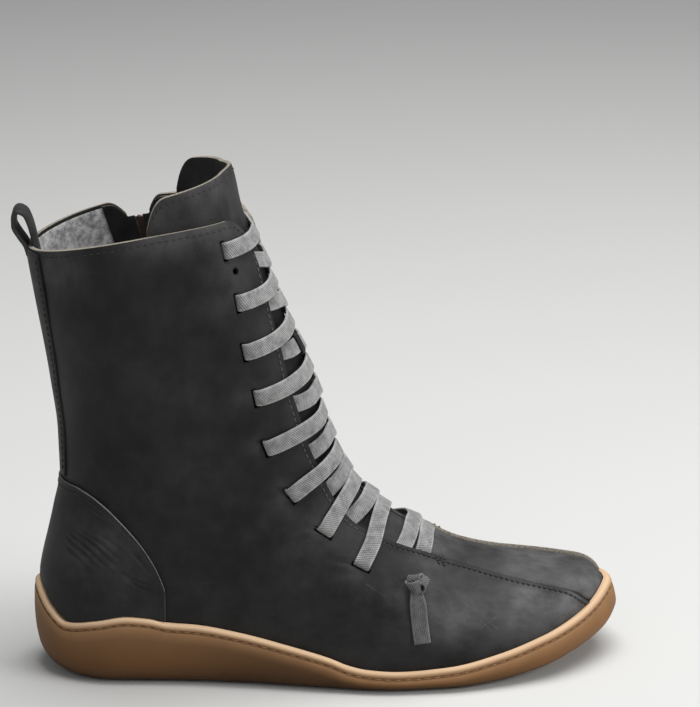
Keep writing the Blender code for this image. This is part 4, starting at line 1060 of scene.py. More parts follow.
# Painted shade on the wall along the foot, and how far below the wall's top it reaches: most at the middle of
# the foot, some at the heel, none at the toe
WALL_WEAR_AND_SHADE, WALL_WEAR_AND_SHADE_DEPTH = np.array([(0, 0.35), (60, 0.45), (125, 0.80), (170, 0.65), (240, 0.0)]), 5.0
TOE_LIP_TAN, TOE_LIP_SPAN = 0.3, (60, 220)
rim_outer, rim_inner = (table_curve(RIM, RIM_COLUMNS, name) for name in RIM_COLUMNS[1:])


def rim_height(along, turn):
    return np.where(turn < 0, rim_outer(along), rim_inner(along))


def tread_height(along, turn):
    """Underside of the sole: flat at heel and ball, rising at the back, the toe and under the inner arch."""
    bevel = HEEL_BEVEL * np.clip(1 - along / HEEL_BEVEL_END, 0, None) ** 2
    arch = ARCH_LIFT * ramp(*ARCH_SPAN[0], along) * (1 - ramp(*ARCH_SPAN[1], along)) * (turn > 0)
    return bevel + toe_lift(along) + arch


def bend_through(values, steps):
    """A smooth run through every one of these values, with this many steps between each two."""
    values = np.asarray(values, float)
    framed = np.concatenate([[2 * values[0] - values[1]], values, [2 * values[-1] - values[-2]]])
    run = []
    for i in range(1, len(framed) - 2):
        a, b, c, d = framed[i - 1:i + 3]
        for t in np.arange(steps) / steps:
            square, cube = 2 * a - 5 * b + 4 * c - d, 3 * b - a - 3 * c + d
            run.append(0.5 * (2 * b + (c - a) * t + square * t * t + cube * t ** 3))
    run.append(values[-1])
    return np.array(run)


sole_turns = ring_turns(SOLE_POINTS)
sole_along = last_surface(np.full_like(sole_turns, PLAN_HEIGHT), sole_turns)[:, 0]
sole_seat = seat_height(sole_along)
sole_rim = rim_height(sole_along, sole_turns)
sole_tread = tread_height(sole_along, sole_turns)
sole_wall = sole_rim - sole_tread
sole_bead = np.minimum(BEAD_MOST, BEAD_SHARE * sole_wall)
sole_edge = np.minimum(EDGE_MOST, EDGE_SHARE * sole_wall)
wall_top = sole_rim - 1.62 * sole_bead
# Rings from the seat over the lip and down to the tread: height, how far out, how much painted highlight, and
# how much wear and painted shade show
SOLE_RINGS = (
    (sole_seat, SOLE_GAP, 0.2, 0.0),
    ((sole_seat + sole_rim) / 2, SOLE_GAP, 0.4, 0.0),
    (sole_rim - 0.8, SOLE_GAP, 0.8, 0.0),
    (sole_rim - 0.2, 0.8, 1.0, 0.0),
    (sole_rim, 1.7, 1.0, 0.0),
    (sole_rim - 0.10 * sole_bead, RIM_THICKNESS - 1.1, 1.0, 0.0),
    (sole_rim - 0.32 * sole_bead, RIM_THICKNESS - 0.3, 0.65, 0.0),
    (sole_rim - 0.60 * sole_bead, RIM_THICKNESS, 0.32, 0.0),
    (sole_rim - 0.88 * sole_bead, RIM_THICKNESS - 0.2, 0.20, 0.0),
    (sole_rim - 1.06 * sole_bead, RIM_THICKNESS - GROOVE_DEPTH, 0.1, 0.25),
    (sole_rim - 1.30 * sole_bead, RIM_THICKNESS - GROOVE_DEPTH, 0.1, 0.3),
    (sole_rim - 1.46 * sole_bead, RIM_THICKNESS - 0.25, 0.12, 0.05),
    (wall_top, RIM_THICKNESS + 0.1, 0.12, 0.0),
    (sole_tread + 0.5 * (sole_edge + wall_top - sole_tread), RIM_THICKNESS + 0.4, 0.05, 0.05),
    (sole_tread + sole_edge, RIM_THICKNESS + 0.2, 0.0, 0.12),
    (sole_tread + 0.35 * sole_edge, RIM_THICKNESS - 2.2, 0.0, 0.45),
    (sole_tread + 0.08 * sole_edge, RIM_THICKNESS - 5.5, 0.0, 1.0),
    (sole_tread, RIM_THICKNESS - 8.5, 0.0, 0.9),
)
flat_turns = np.ones_like(sole_turns)
ring_heights, ring_offsets, ring_highlights, ring_wear_and_shade = (
    bend_through([np.asarray(ring[k]) * flat_turns for ring in SOLE_RINGS], 3) for k in range(4)
)


def sole_ring(height, offset):
    """A ring round the sole at these heights, this far out from the last."""
    ring = contour_offset(np.maximum(height, sole_seat + 1.0), sole_turns, offset * flat_turns)
    ring[:, 2] = height
    return ring


sole_rings = [sole_ring(height, offset) for height, offset in zip(ring_heights, ring_offsets)]
sole_rings[0][:, 2] = seat_height(sole_rings[0][:, 0])
sole_rings[-1][:, 2] = tread_height(sole_rings[-1][:, 0], sole_turns)
sole_rings = np.array(sole_rings)
sole_under = rungs(sole_rings[-1], SOLE_RUNGS)
under_share = np.linspace(0, 1, SOLE_RUNGS)
flat_under = tread_height(sole_under[..., 0], -1.0)
arched_under = tread_height(sole_under[..., 0], 1.0)
sole_under[..., 2] = flat_under + (arched_under - flat_under) * ramp(0.55, 1.0, under_share)
sole_inside = rungs(sole_rings[0], SOLE_RUNGS)
sole_inside[..., 2] = seat_height(sole_inside[..., 0])
sole_cup = (sole_rings.reshape(-1, 3), loft_faces(len(sole_rings), SOLE_POINTS))
sole_forms = [sole_cup, gridded(sole_under), gridded(sole_inside)]

gum_rubber, tree, shader = finish_of("gum_rubber", Specular_IOR_Level=0.2, Subsurface_Weight=0.04)
shader.inputs["Subsurface Radius"].default_value = (0.002, 0.001, 0.0005)
where = place_in(tree)
rubber_cloud = noise(tree, where, 55.0, 5.0, 0.65)
rubber_speck = noise(tree, where, 900.0, 2.0)
wall_tint = two_tone(tree, rubber_cloud, (0.185, 0.083, 0.027), (0.250, 0.120, 0.043), 0.3, 0.7)
# Painted highlight: the top of the lip is painted pale cream, less so at the toe
lip_highlight_tint = blend_colour(tree, painted(tree, "lip_highlight"), wall_tint, (0.82, 0.58, 0.37, 1))
# Darkening: painted shade in the groove and on the wall at the heel and middle of the foot, and darker
# towards the tread, partly worn and partly painted shade
worn_and_shaded = maths(tree, "MULTIPLY", painted(tree, "wear_and_painted_shade"), spread(tree, rubber_cloud, 0.3, 0.7, 0.85, 1.0))
worn_and_shaded_tint = blend_colour(tree, worn_and_shaded, lip_highlight_tint, (0.052, 0.023, 0.008, 1))
tree.links.new(worn_and_shaded_tint, shader.inputs["Base Color"])
tree.links.new(spread(tree, rubber_cloud, 0.3, 0.7, 0.48, 0.66), shader.inputs["Roughness"])
roughen(tree, shader, maths(tree, "ADD", rubber_speck, rubber_cloud), 0.18, 0.0004)
outsole = piece_of("outsole_cup", *joined(sole_forms), gum_rubber)
# Painted highlight along the top of the lip
paint_share(outsole, "lip_highlight", sole_rings, ring_highlights * (1 - TOE_LIP_TAN * ramp(*TOE_LIP_SPAN, sole_along)))
wall_wear_and_shade = smooth_curve(*WALL_WEAR_AND_SHADE.T)(sole_along) * ramp(-1, WALL_WEAR_AND_SHADE_DEPTH, wall_top - ring_heights)
# Painted shade and wear, as darkening
paint_share(outsole, "wear_and_painted_shade", sole_rings, np.clip(ring_wear_and_shade + wall_wear_and_shade, 0, 1))
settle(outsole, 50)
hand_in(outsole, "boot", "gum_rubber", "outsole")


def thread_finish(name, colour):
    """Waxed sewing thread."""
    dark, light = ([share * c for c in colour] for share in (0.6, 1.3))
    return fibre_finish(name, dark, light, 2400.0, 2.0, (0.3, 0.7), 0.7)


def lengths_along(path):
    """How far along a path each of its points lies."""
    return np.concatenate([[0], np.cumsum(np.linalg.norm(np.diff(path, axis=0), axis=1))])


def value_along(values, lengths, places):
    """What the values that belong to a path's points are at these places along it."""
    return np.stack([np.interp(places, lengths, values[:, k]) for k in range(values.shape[1])], -1)


def even_path(path, spacing, *others):
    """A path taken again at even steps along its length, and other values that belong to its points."""
    length = lengths_along(path)
    places = np.linspace(0, length[-1], max(int(round(length[-1] / spacing)), 1) + 1)
    taken = [value_along(values, length, places) for values in (path, *others)]
    return taken if others else taken[0]


STITCH_SIDES = 6
STITCH_ARCH = ((0.0, -0.5, 0.55), (0.14, 0.15, 1.0), (0.5, 0.35, 1.0), (0.86, 0.15, 1.0), (1.0, -0.5, 0.55))


def stitch_row(path, normals, pitch, length, thickness):
    """Points and faces of a row of short arched stitches along a path; the ends dip into the leather."""
    path, normals = even_path(np.asarray(path), 0.25, np.asarray(normals))
    arc = lengths_along(path)
    count = int(arc[-1] // pitch)
    pitch = arc[-1] / max(count, 1)
    stitches = []
    for k in range(count):
        rings = []
        for part, rise, fat in STITCH_ARCH:
            place = (k + 0.5) * pitch + (part - 0.5) * length
            spot, ahead, behind = (value_along(path, arc, place + step) for step in (0.0, 0.4, -0.4))
            out = unit(value_along(normals, arc, place))
            across = unit(np.cross(out, ahead - behind))
            round_thread = thickness / 2 * fat * circle(STITCH_SIDES)
            rings.append(spot + out * rise * thickness + round_thread @ np.stack([across, out]))
        stitches.append(lofted(rings))
    return joined(stitches)


def sewn(name, rows, finish):
    """One piece from several rows of stitches."""
    piece = piece_of(name, *joined(rows), finish)
    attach(piece, "boot")


WELT_SEWING, WELT_BELOW_RIM, WELT_AIM = (4.4, 3.0, 0.6), 1.18, 9.0
groove_height = sole_rim - WELT_BELOW_RIM * sole_bead
groove, beside_groove = (sole_ring(groove_height, out) for out in (RIM_THICKNESS - GROOVE_DEPTH, WELT_AIM))
closed = np.append(np.arange(SOLE_POINTS), 0)
welt_row = stitch_row(groove[closed], unit(beside_groove - groove)[closed], *WELT_SEWING)
sewn("welt_stitches", [welt_row], thread_finish("welt_thread", (0.36, 0.20, 0.088)))

# Tongue
# One tall piece of the same leather, 1.8 mm thick, sewn in behind the throat, with wide wings that keep the
# wet out. It stands about 20 mm above the collar. Its raw top edge is rounded at both corners and sewn once.
TONGUE_COLUMNS = ("height", "outer", "inner")
TONGUE = np.array([
    (50, 172.0, 172.0),
    (70, 140.0, 140.0),
    (100, 108.0, 108.0),
    (150, 86.0, 86.0),
    (205, 52.5, 63.5),
    (235, 50.0, 63.0),
])
TONGUE_TOP, TONGUE_TOP_PLACE, TONGUE_SLOPE, TONGUE_CORNER, TONGUE_LEAN = 231.3, 91.0, 0.22, 12.0, 2.4
TONGUE_DEPTH, TONGUE_THICKNESS = 3.7, 1.8
TONGUE_BULGE, TONGUE_BULGE_EDGE = 2.1, 3.0
TONGUE_ROWS, TONGUE_HALF_COLUMNS = 110, 34
outer_wing, inner_wing = (table_curve(TONGUE, TONGUE_COLUMNS, name) for name in TONGUE_COLUMNS[1:])


def tongue_depth(level, turn):
    """How far the tongue's face lies under the upper's outside: it bulges a little through the throat."""
    half_gap = (throat_inner(level) - throat_outer(level)) / 2 - TONGUE_BULGE_EDGE
    sideways = last_surface(np.full_like(turn, level), turn)[:, 1]
    from_middle = (sideways - (throat_inner(level) + throat_outer(level)) / 2) / max(half_gap, 1.0)
    bulge = TONGUE_BULGE * np.clip(1 - from_middle ** 2, 0, 1) * ramp(0, 2 * TONGUE_BULGE_EDGE, half_gap)
    return TONGUE_DEPTH - bulge


tongue_points = []
tongue_normals = []
for level in front_levels(TONGUE_ROWS, TONGUE[0, 0], TONGUE_TOP):
    ends = [turn_at_place(level, place(level), side) for place, side in ((outer_wing, -1), (inner_wing, 1))]
    middle = turn_at_width(level, (throat_outer(level) + throat_inner(level)) / 2)
    turn = np.concatenate([
        np.linspace(ends[0], middle, TONGUE_HALF_COLUMNS + 1),
        np.linspace(middle, ends[1], TONGUE_HALF_COLUMNS + 1)[1:],
    ])
    along = last_surface(np.full_like(turn, level), turn)[:, 0]
    from_wing = along - np.where(turn < 0, outer_wing(level), inner_wing(level))
    corner = TONGUE_CORNER * np.clip(1 - from_wing / TONGUE_CORNER, 0, 1) ** 2
    top = TONGUE_TOP - TONGUE_SLOPE * np.clip(TONGUE_TOP_PLACE - along, 0, None) - corner
    height = level + ramp(120, TONGUE_TOP, level) * (top - TONGUE_TOP)
    stand = TONGUE_LEAN * ramp(210, TONGUE_TOP, height)
    stand = stand + 0.25 * np.sin(height / 11.0 + along / 15.0) * ramp(195, 225, height)
    tongue_points.append(off_surface(height, turn, stand - tongue_depth(level, turn)))
    tongue_normals.append(surface_normal(height, turn))
tongue_points = np.array(tongue_points)
tongue_normals = np.array(tongue_normals)
tongue_heights = tongue_points[..., 2]
tongue_buffing = 0.20 * ramp(190, 228, tongue_heights) + 0.25 * (1 - ramp(60, 90, tongue_heights))
tongue = sheet_of(
    "tongue_leather", tongue_points, TONGUE_THICKNESS, UPPER_EDGE_ROUND, upper_leather, raw_edge,
    buffing_and_painted_light=tongue_buffing)
settle(tongue)
hand_in(tongue, "boot", "leather", "tongue")

# Heel counter
# A stiff cap of leather, 1.3 mm thick, laid over the back of the heel and sewn along its curved front edge.
# Its lower edge goes down behind the lip of the sole, and walking has wrinkled it on the outer side.
COUNTER_TOP, COUNTER_BASE, COUNTER_BACK, COUNTER_REACH = 89.0, 30.0, 13.0, 49.5
COUNTER_GAP, COUNTER_THICKNESS, COUNTER_EDGE_ROUND = 0.5, 1.3, 0.3
COUNTER_COLUMNS, COUNTER_ROWS = 261, 110
RUB_MIDDLE, RUB_HALF, RUB_SHARE = (32, 60), (17, 15), 0.45
COUNTER_FOLDS = (
    (-1, ((17, 63), (24, 58), (31, 51)), 0.8, 0.42),
    (-1, ((19, 66), (26, 61), (34, 53)), 0.7, 0.60),
    (-1, ((21, 68), (28, 63), (37, 54)), 0.7, 0.66),
    (-1, ((23, 70), (31, 65), (40, 56)), 0.7, 0.62),
    (-1, ((26, 71), (34, 66), (42, 59)), 0.7, 0.50),
    (-1, ((30, 72), (37, 68), (44, 62)), 0.8, 0.38),
    (-1, ((40, 54), (46, 50), (54, 47)), 0.8, 0.60),
    (-1, ((42, 51), (48, 47), (55, 44)), 0.8, 0.54),
    (-1, ((45, 64), (49, 60), (53, 54)), 0.8, 0.46),
    (-1, ((28, 80), (34, 77), (40, 71)), 0.8, 0.36),
    (1, ((22, 66), (30, 61), (36, 54)), 0.8, 0.46),
    (1, ((19, 62), (26, 57), (33, 50)), 0.8, 0.46),
    (1, ((40, 54), (46, 50), (52, 47)), 0.8, 0.40),
)


def counter_edge(along):
    share = np.clip((along - COUNTER_BACK) / COUNTER_REACH, 0, 1)
    return COUNTER_BASE + (COUNTER_TOP - COUNTER_BASE) * np.sqrt(1 - share ** 1.45)


counter_share = np.linspace(1, -1, COUNTER_COLUMNS)
counter_side = np.where(counter_share < 0, -1.0, 1.0)
counter_tip = COUNTER_BACK + COUNTER_REACH - 2.0
counter_middle = back_line(COUNTER_BASE) + (counter_tip - back_line(COUNTER_BASE)) * counter_share ** 2
counter_low = rim_height(counter_middle, counter_side) + 0.6
counter_high = np.maximum(counter_edge(counter_middle), counter_low + 2.5)
counter_points = []
counter_normals = []
for part_way in np.linspace(0, 1, COUNTER_ROWS):
    height = counter_low + part_way * (counter_high - counter_low)
    back = back_line(height)
    turn = turn_at_place(height, back + (counter_tip - back) * counter_share ** 2, counter_side)
    flat = last_surface(height, turn)
    form = 0.10 * np.sin(flat[:, 0] / 8.0 + height / 6.0) * ramp(34, 48, height)
    for side, path, half_width, depth in COUNTER_FOLDS:
        form = form + np.where(counter_side == side, crease(flat[:, 0], height, path, half_width, depth), 0.0)
    counter_points.append(off_surface(height, turn, COUNTER_GAP + COUNTER_THICKNESS + form))
    counter_normals.append(surface_normal(height, turn))
counter_points = np.array(counter_points)
counter_normals = np.array(counter_normals)
counter_leather = leather_finish("counter_leather", (0.012, 0.012, 0.0124), (0.080, 0.080, 0.081))
counter_rim = raw_edge_finish("counter_rim", (0.12, 0.117, 0.112), (0.27, 0.26, 0.25))
from_rub = (counter_points[..., ::2] - RUB_MIDDLE) / RUB_HALF
counter_rub = RUB_SHARE * np.exp(-(from_rub ** 2).sum(-1))
counter = sheet_of(
    "heel_counter_leather", counter_points, COUNTER_THICKNESS, COUNTER_EDGE_ROUND,
    counter_leather, counter_rim, buffing_and_painted_light=counter_rub)
settle(counter)
hand_in(counter, "boot", "leather", "heel_counter")

# Back strip
# A strip of leather that covers the back seam from the counter up to the collar and widens on the way.
# Its edges are dyed dark and sewn down.
BACKSTAY_COLUMNS = ("height", "half_width")
BACKSTAY = np.array([(90, 10.5), (128, 13.0), (152, 16.0), (180, 18.5), (200, 19.5)])
STRIP_ROWS, STRIP_COLUMNS = 80, 31
STRIP_RISE, STRIP_THICKNESS, STRIP_EDGE_ROUND = 1.0, 0.9, 0.25
backstay_half = table_curve(BACKSTAY, BACKSTAY_COLUMNS, "half_width")


def turn_beside_back(height, sideways):
    """Turns of the points near the back seam that lie this far to the side, negative to the outer side."""
    turns = np.linspace(0.6, 1.0, 161)
    widths = last_surface(height, turns)[:, 1]
    found = np.interp(np.abs(sideways), widths[::-1], turns[::-1])
    return np.where(sideways > 0, found, -found)


strip_points = []
strip_normals = []
for level in np.linspace(COUNTER_TOP + 2.0, COLLAR_BACK + 0.5, STRIP_ROWS):
    turn = turn_beside_back(level, np.linspace(1, -1, STRIP_COLUMNS) * backstay_half(level))
    height = np.full_like(turn, level)
    form = 0.15 * np.sin(level / 13.0)
    strip_points.append(off_surface(height, turn, STRIP_RISE + form + 0 * turn))
    strip_normals.append(surface_normal(height, turn))
strip_points = np.array(strip_points)
strip_normals = np.array(strip_normals)
back_strip = sheet_of("back_strip", strip_points, STRIP_THICKNESS, STRIP_EDGE_ROUND, upper_leather, dyed_edge)
settle(back_strip)
hand_in(back_strip, "boot", "leather", "backstay")

# Pull loop
# A leather strip 15 mm wide, folded into a loop over the back of the collar. Its outer end goes in under the
# back strip and the other lies inside the boot.
# The loop's middle line, from outside to inside: along and up the boot
LOOP = np.array([
    (2.7, 192.3),
    (1.5, 196.4),
    (-1.2, 200.6),
    (-3.6, 205.4),
    (-3.6, 209.3),
    (-1.6, 211.8),
    (1.2, 210.6),
    (3.4, 206.0),
    (4.8, 200.4),
    (5.7, 195.6),
    (7.2, 187.0),
])
LOOP_WIDTH, LOOP_THICKNESS, LOOP_STEP, LOOP_RUB_AND_HIGHLIGHT = 15.0, 2.0, 0.8, 0.6


def strip_outline(width, thickness, edge_steps=4, face_steps=4):
    """Outline of a flat strip with round edges, as places across it and above it."""
    radius = thickness / 2
    half = width / 2 - radius
    outline = []
    for side in (1, -1):
        for angle in np.linspace(-np.pi / 2, np.pi / 2, edge_steps + 1):
            outline.append((side * (half + radius * math.cos(angle)), side * radius * math.sin(angle)))
        for share in np.arange(1, face_steps) / face_steps:
            outline.append((side * half * (1 - 2 * share), side * radius))
    return np.array(outline)


def run_strip(path, across, outline):
    """Points of a strip along a path: its outline set square to the path, with its width along across."""
    ahead = unit(np.gradient(path, axis=0))
    across = unit(across - ahead * np.sum(across * ahead, axis=1, keepdims=True))
    up = np.cross(ahead, across)
    return path[:, None] + across[:, None] * outline[None, :, :1] + up[:, None] * outline[None, :, 1:]


loop_knots = np.arange(len(LOOP), dtype=float)
loop_share = np.linspace(0, len(LOOP) - 1, 120)
loop_along, loop_height = (smooth_curve(loop_knots, column)(loop_share) for column in LOOP.T)
loop_path = even_path(np.stack([loop_along, np.zeros_like(loop_share), loop_height], 1), LOOP_STEP)
loop_outline = strip_outline(LOOP_WIDTH, LOOP_THICKNESS)
loop_strip = run_strip(loop_path, np.tile((0.0, 1.0, 0.0), (len(loop_path), 1)), loop_outline)
pull_loop = piece_of("pull_loop_strip", *lofted(loop_strip), upper_leather)
# The loop's edges are painted lighter: rubbed, and a painted highlight along its rims
loop_edge_lightening = np.clip(np.abs(loop_outline[:, 0]) - LOOP_WIDTH / 2 + LOOP_RUB_AND_HIGHLIGHT, 0, None) / LOOP_RUB_AND_HIGHLIGHT
paint_share(pull_loop, "buffed", loop_strip, np.tile(0.12 + 0.25 * loop_edge_lightening, (len(loop_path), 1)))
settle(pull_loop)
hand_in(pull_loop, "boot", "leather", "pull_loop")

# Zip
# Brown woven tape with two rows of moulded teeth that close between each other, sewn in behind a slot in the
# inner side. It runs from just under the collar down to the arch.
TAPE_DEPTH, TAPE_HIDDEN, TAPE_THICKNESS, TAPE_ROOM = -1.2, -2.08, 0.4, 0.7
TAPE_REACH, TAPE_COLUMNS, TAPE_STEP, TAPE_FOLD = 7.0, 25, 1.2, 9.0
TOOTH_PITCH, TOOTH_HALF, TOOTH_REACH, TOOTH_HEIGHT = 1.4, 0.48, 2.3, 1.05
TOOTH_OVERLAP = 0.55
zip_lowest = upper_levels[zip_first_row] + TAPE_ROOM
zip_highest = ZIP_TOP[1] - 9.0
zip_tape, tree, shader = finish_of("zip_tape", Roughness=0.85, Sheen_Weight=0.2)
weave = node(tree, "TexWave", {"bands_direction": "Z"}, Vector=place_in(tree), Scale=420.0, Distortion=1.2)
weave_lines = weave.outputs["Fac"]
tape_tint = two_tone(tree, weave_lines, (0.022, 0.011, 0.0095), (0.058, 0.028, 0.023))
tree.links.new(tape_tint, shader.inputs["Base Color"])
roughen(tree, shader, weave_lines, 0.4, 0.0002)
zip_teeth, tree, shader = finish_of("zip_teeth", Specular_IOR_Level=0.5)
teeth_cloud = noise(tree, place_in(tree), 300.0, 2.0)
teeth_tint = two_tone(tree, teeth_cloud, (0.070, 0.030, 0.022), (0.150, 0.066, 0.050))
tree.links.new(teeth_tint, shader.inputs["Base Color"])
tree.links.new(spread(tree, teeth_cloud, 0.3, 0.7, 0.34, 0.5), shader.inputs["Roughness"])
tape_half = ZIP_HALF + TAPE_REACH
tape_rows = []
tape_places = np.linspace(-tape_half, tape_half, TAPE_COLUMNS)
tape_levels = np.linspace(0, 1, int((zip_highest - zip_lowest) / TAPE_STEP))
for places, under in ((tape_places, 0.0), (tape_places[::-1], TAPE_THICKNESS)):
    for sideways in places:
        fold = TAPE_FOLD * ramp(ZIP_HALF - 1.0, ZIP_HALF + 1.0, abs(sideways))
        tape_heights = zip_lowest + tape_levels * (zip_highest - fold - zip_lowest)
        turn = zip_turn(tape_heights, sideways)
        hidden = ramp(ZIP_HALF - 2.0, ZIP_HALF - 0.2, abs(sideways))
        depth = TAPE_DEPTH + (TAPE_HIDDEN - TAPE_DEPTH) * hidden - under
        form = upper_form(tape_heights, turn, last_surface(tape_heights, turn))
        tape_rows.append(off_surface(tape_heights, turn, form + depth))
tape_rows = np.stack(tape_rows, 1)
zip_forms = [lofted(tape_rows)]
tape_face_count = len(zip_forms[0][1])
TOOTH_OUTLINE = ((-1.0, 0.0), (-1.0, 0.75), (-0.7, 1.0), (0.7, 1.0), (1.0, 0.75), (1.0, 0.0))
tooth_count = int((zip_highest - zip_lowest) / TOOTH_PITCH)
for k in range(tooth_count):
    side = 1 if k % 2 else -1
    middle_height = zip_lowest + 1.0 + k * (zip_highest - zip_lowest - 2.0) / (tooth_count - 1)
    tooth_rings = []
    for sideways in (side * TOOTH_REACH, side * 1.2, side * 0.2, -side * TOOTH_OVERLAP):
        pinch = 0.8 if abs(sideways) > 2 else 1.0
        heights = np.array([middle_height + z * TOOTH_HALF * pinch for z, _ in TOOTH_OUTLINE])
        offsets = np.array([TAPE_DEPTH - 0.1 + TOOTH_HEIGHT * pinch * o for _, o in TOOTH_OUTLINE])
        turn = zip_turn(heights, np.full_like(heights, sideways))
        form = upper_form(heights, turn, last_surface(heights, turn))
        tooth_rings.append(off_surface(heights, turn, form + offsets))
    zip_forms.append(lofted(tooth_rings))
zip_chain = piece_of("zip_tape_and_teeth", *joined(zip_forms), zip_tape, zip_teeth)
for face in zip_chain.data.polygons:
    face.material_index = int(face.index >= tape_face_count)
settle(zip_chain, 35)
hand_in(zip_chain, "boot", "zip_tape", "zip_chain")

# Zip slider
# Die-cast metal with a worn copper-brown plating: a shield-shaped body over the closed teeth, and two lugs
# with a pin that carries the pull.
SLIDER_HEIGHT, SLIDER_LIFT, TEETH_TOP = 193.0, 0.4, -0.1
SLIDER_WIDTH, SLIDER_LENGTH, SLIDER_DEPTH = 8.0, 10.0, 2.2
LUG_SIZE, LUG_SPREAD = (1.4, 3.0), 5.6
PIN_RADIUS, PIN_HEIGHT, PIN_SIDES = 0.7, 4.6, 20
zip_metal, tree, shader = finish_of("zip_metal", Metallic=0.85)
plating = noise(tree, place_in(tree), 380.0, 4.0)
plating_tint = two_tone(tree, plating, (0.13, 0.066, 0.047), (0.30, 0.165, 0.120), 0.35, 0.7)
tree.links.new(plating_tint, shader.inputs["Base Color"])
tree.links.new(spread(tree, plating, 0.3, 0.7, 0.30, 0.48), shader.inputs["Roughness"])

slider_turn = zip_turn(SLIDER_HEIGHT, 0.0)
slider_out = surface_normal(SLIDER_HEIGHT, slider_turn)
slider_level = -unit(np.cross(slider_out, (0, 0, 1)))
slider_up = np.cross(slider_out, slider_level)
slider_middle = last_surface(SLIDER_HEIGHT, slider_turn) + slider_out * (TEETH_TOP + SLIDER_LIFT)


def at_slider(places):
    """Places in the slider's own axes: level along the boot, up the wall, outward."""
    return slider_middle + np.asarray(places, float) @ np.stack([slider_level, slider_up, slider_out])


def squarish(outline, power):
    """A round outline pushed out towards its corners."""
    return np.sign(outline) * np.abs(outline) ** power


def stacked_outline(outline, layers):
    """Rings of one outline, each drawn in by its layer's inset, at its layer's height."""
    outline = np.asarray(outline, float)
    reach = np.abs(outline).max(0)
    drawn_in = [(outline * (1 - inset / reach), z) for inset, z in layers]
    return np.array([[(x, y, z) for x, y in ring] for ring, z in drawn_in])


SHIELD = [
    (0.62, -1.0), (0.80, -0.86), (0.84, -0.45), (0.90, 0.1),
    (1.0, 0.55), (0.96, 0.85), (0.72, 1.0), (0.25, 0.9)
]
shield = SHIELD + [(-x, y) for x, y in SHIELD[::-1]]
shield = np.array(shield) * (SLIDER_WIDTH / 2, SLIDER_LENGTH / 2)
# Layers of the body and of each lug: how far the outline is drawn in, and the height
BODY_LAYERS = (
    (0.5, 0.0), (0.12, 0.15), (0.0, 0.5), (0.0, 1.5), (0.15, 1.9), (0.55, 2.15), (1.2, SLIDER_DEPTH)
)
LUG_LAYERS = ((0, SLIDER_DEPTH - 0.5), (0, 5.2), (0.12, 5.6), (0.4, 5.8))
slider_forms = [lofted(at_slider(stacked_outline(shield, BODY_LAYERS)))]
lug_outline = squarish(circle(20), 0.55) * (LUG_SIZE[0] / 2, LUG_SIZE[1] / 2)
for side in (-1, 1):
    lug_rings = stacked_outline(lug_outline, LUG_LAYERS)
    lug_rings[..., 0] += side * LUG_SPREAD / 2
    slider_forms.append(lofted(at_slider(lug_rings)))
pin_ends = ((-3.9, 0.5), (-3.7, PIN_RADIUS), (3.7, PIN_RADIUS), (3.9, 0.5))
pin_rings = [[(x, r * c, PIN_HEIGHT + r * s) for c, s in circle(PIN_SIDES)] for x, r in pin_ends]
slider_forms.append(lofted(at_slider(pin_rings)))
slider = piece_of("zip_slider_body", *joined(slider_forms), zip_metal)
settle(slider, 35)
hand_in(slider, "boot", "zip_metal", "zip_slider")

# Zip pull
# A narrow cast tab with a rolled eye that hangs plumb from the slider's pin and swings on it.
# Its flat is pressed a little hollow, with a rounded rim.
EYE_RADIUS, EYE_HOLE, EYE_SIDES = 2.0, 1.1, 28
PULL_WIDTH, PULL_LENGTH, PULL_THICKNESS = 3.4, 22.0, 1.4
pull_pin = at_slider((0, 0, PIN_HEIGHT))
pull_out = np.cross(slider_level, (0, 0, 1))


def at_pull(places):
    return pull_pin + np.asarray(places, float) @ np.stack([slider_level, (0, 0, 1), pull_out])


# Half of the eye's section, outside to inside, and the upper half of the tab's layers. Both are mirrored
half_section = [(1.5, EYE_RADIUS), (1.7, EYE_RADIUS - 0.2), (1.7, EYE_HOLE + 0.15), (1.5, EYE_HOLE)]
half_thick = PULL_THICKNESS / 2
half_layers = [
    (0.0, half_thick - 0.3), (0.25, half_thick), (0.5, half_thick - 0.05), (0.85, half_thick - 0.25)
]
eye_section = [(-x, r) for x, r in half_section[::-1]] + half_section
eye_section += eye_section[:1]
eye_rings = np.array([[(x, r * c, r * s) for c, s in circle(EYE_SIDES)] for x, r in eye_section])
pull_forms = [(at_pull(eye_rings.reshape(-1, 3)), loft_faces(len(eye_rings), EYE_SIDES))]
tab_outline = squarish(circle(48), (0.5, 0.16)) * (PULL_WIDTH / 2, PULL_LENGTH / 2)
tab_rings = stacked_outline(tab_outline, [(inset, -z) for inset, z in half_layers[::-1]] + half_layers)
tab_rings[..., 1] -= PULL_LENGTH / 2 + EYE_HOLE
pull_forms.append(lofted(at_pull(tab_rings)))
zip_pull = piece_of("zip_pull_tab", *joined(pull_forms), zip_metal)
settle(zip_pull, 35)
hand_in(zip_pull, "zip_tab", "zip_metal", "zip_pull")

# Lace
# One flat woven lace, 7.5 mm wide, in grey. It starts at a hole low on the outer side and crosses the throat
# from slit to slit: each strap comes out of its slit, over the near edge and in under the far one. It ends at
# a hole high on the inner side.
LACE_WIDTH, LACE_THICKNESS, LACE_STEP = 7.5, 1.2, 0.7
LACE_ROLL = 0.09
UNDER_DEPTH = -2.8
BOTTOM_BAR = (56.0, 61.2)
STRAP_SHARES = np.linspace(0.06, 1.03, 16)
strap_lift = smooth_curve((0, 0.45, 0.8, 0.94, 1.02, 1.1), (1.5, 1.4, -0.2, -1.7, -2.7, -2.8))
# The turn through a slit: places along the strap and heights over the leather, from inside to outside
SLIT_TURN = ((2.6, -2.8), (0.6, -2.75), (-0.5, -2.1), (-0.85, -1.0), (-0.75, 0.2), (-0.1, 1.05), (1.1, 1.45))
HOLE_TURN = (-2.8, -1.5, 0.0, 1.5)
HOLE_PINCH = 0.34

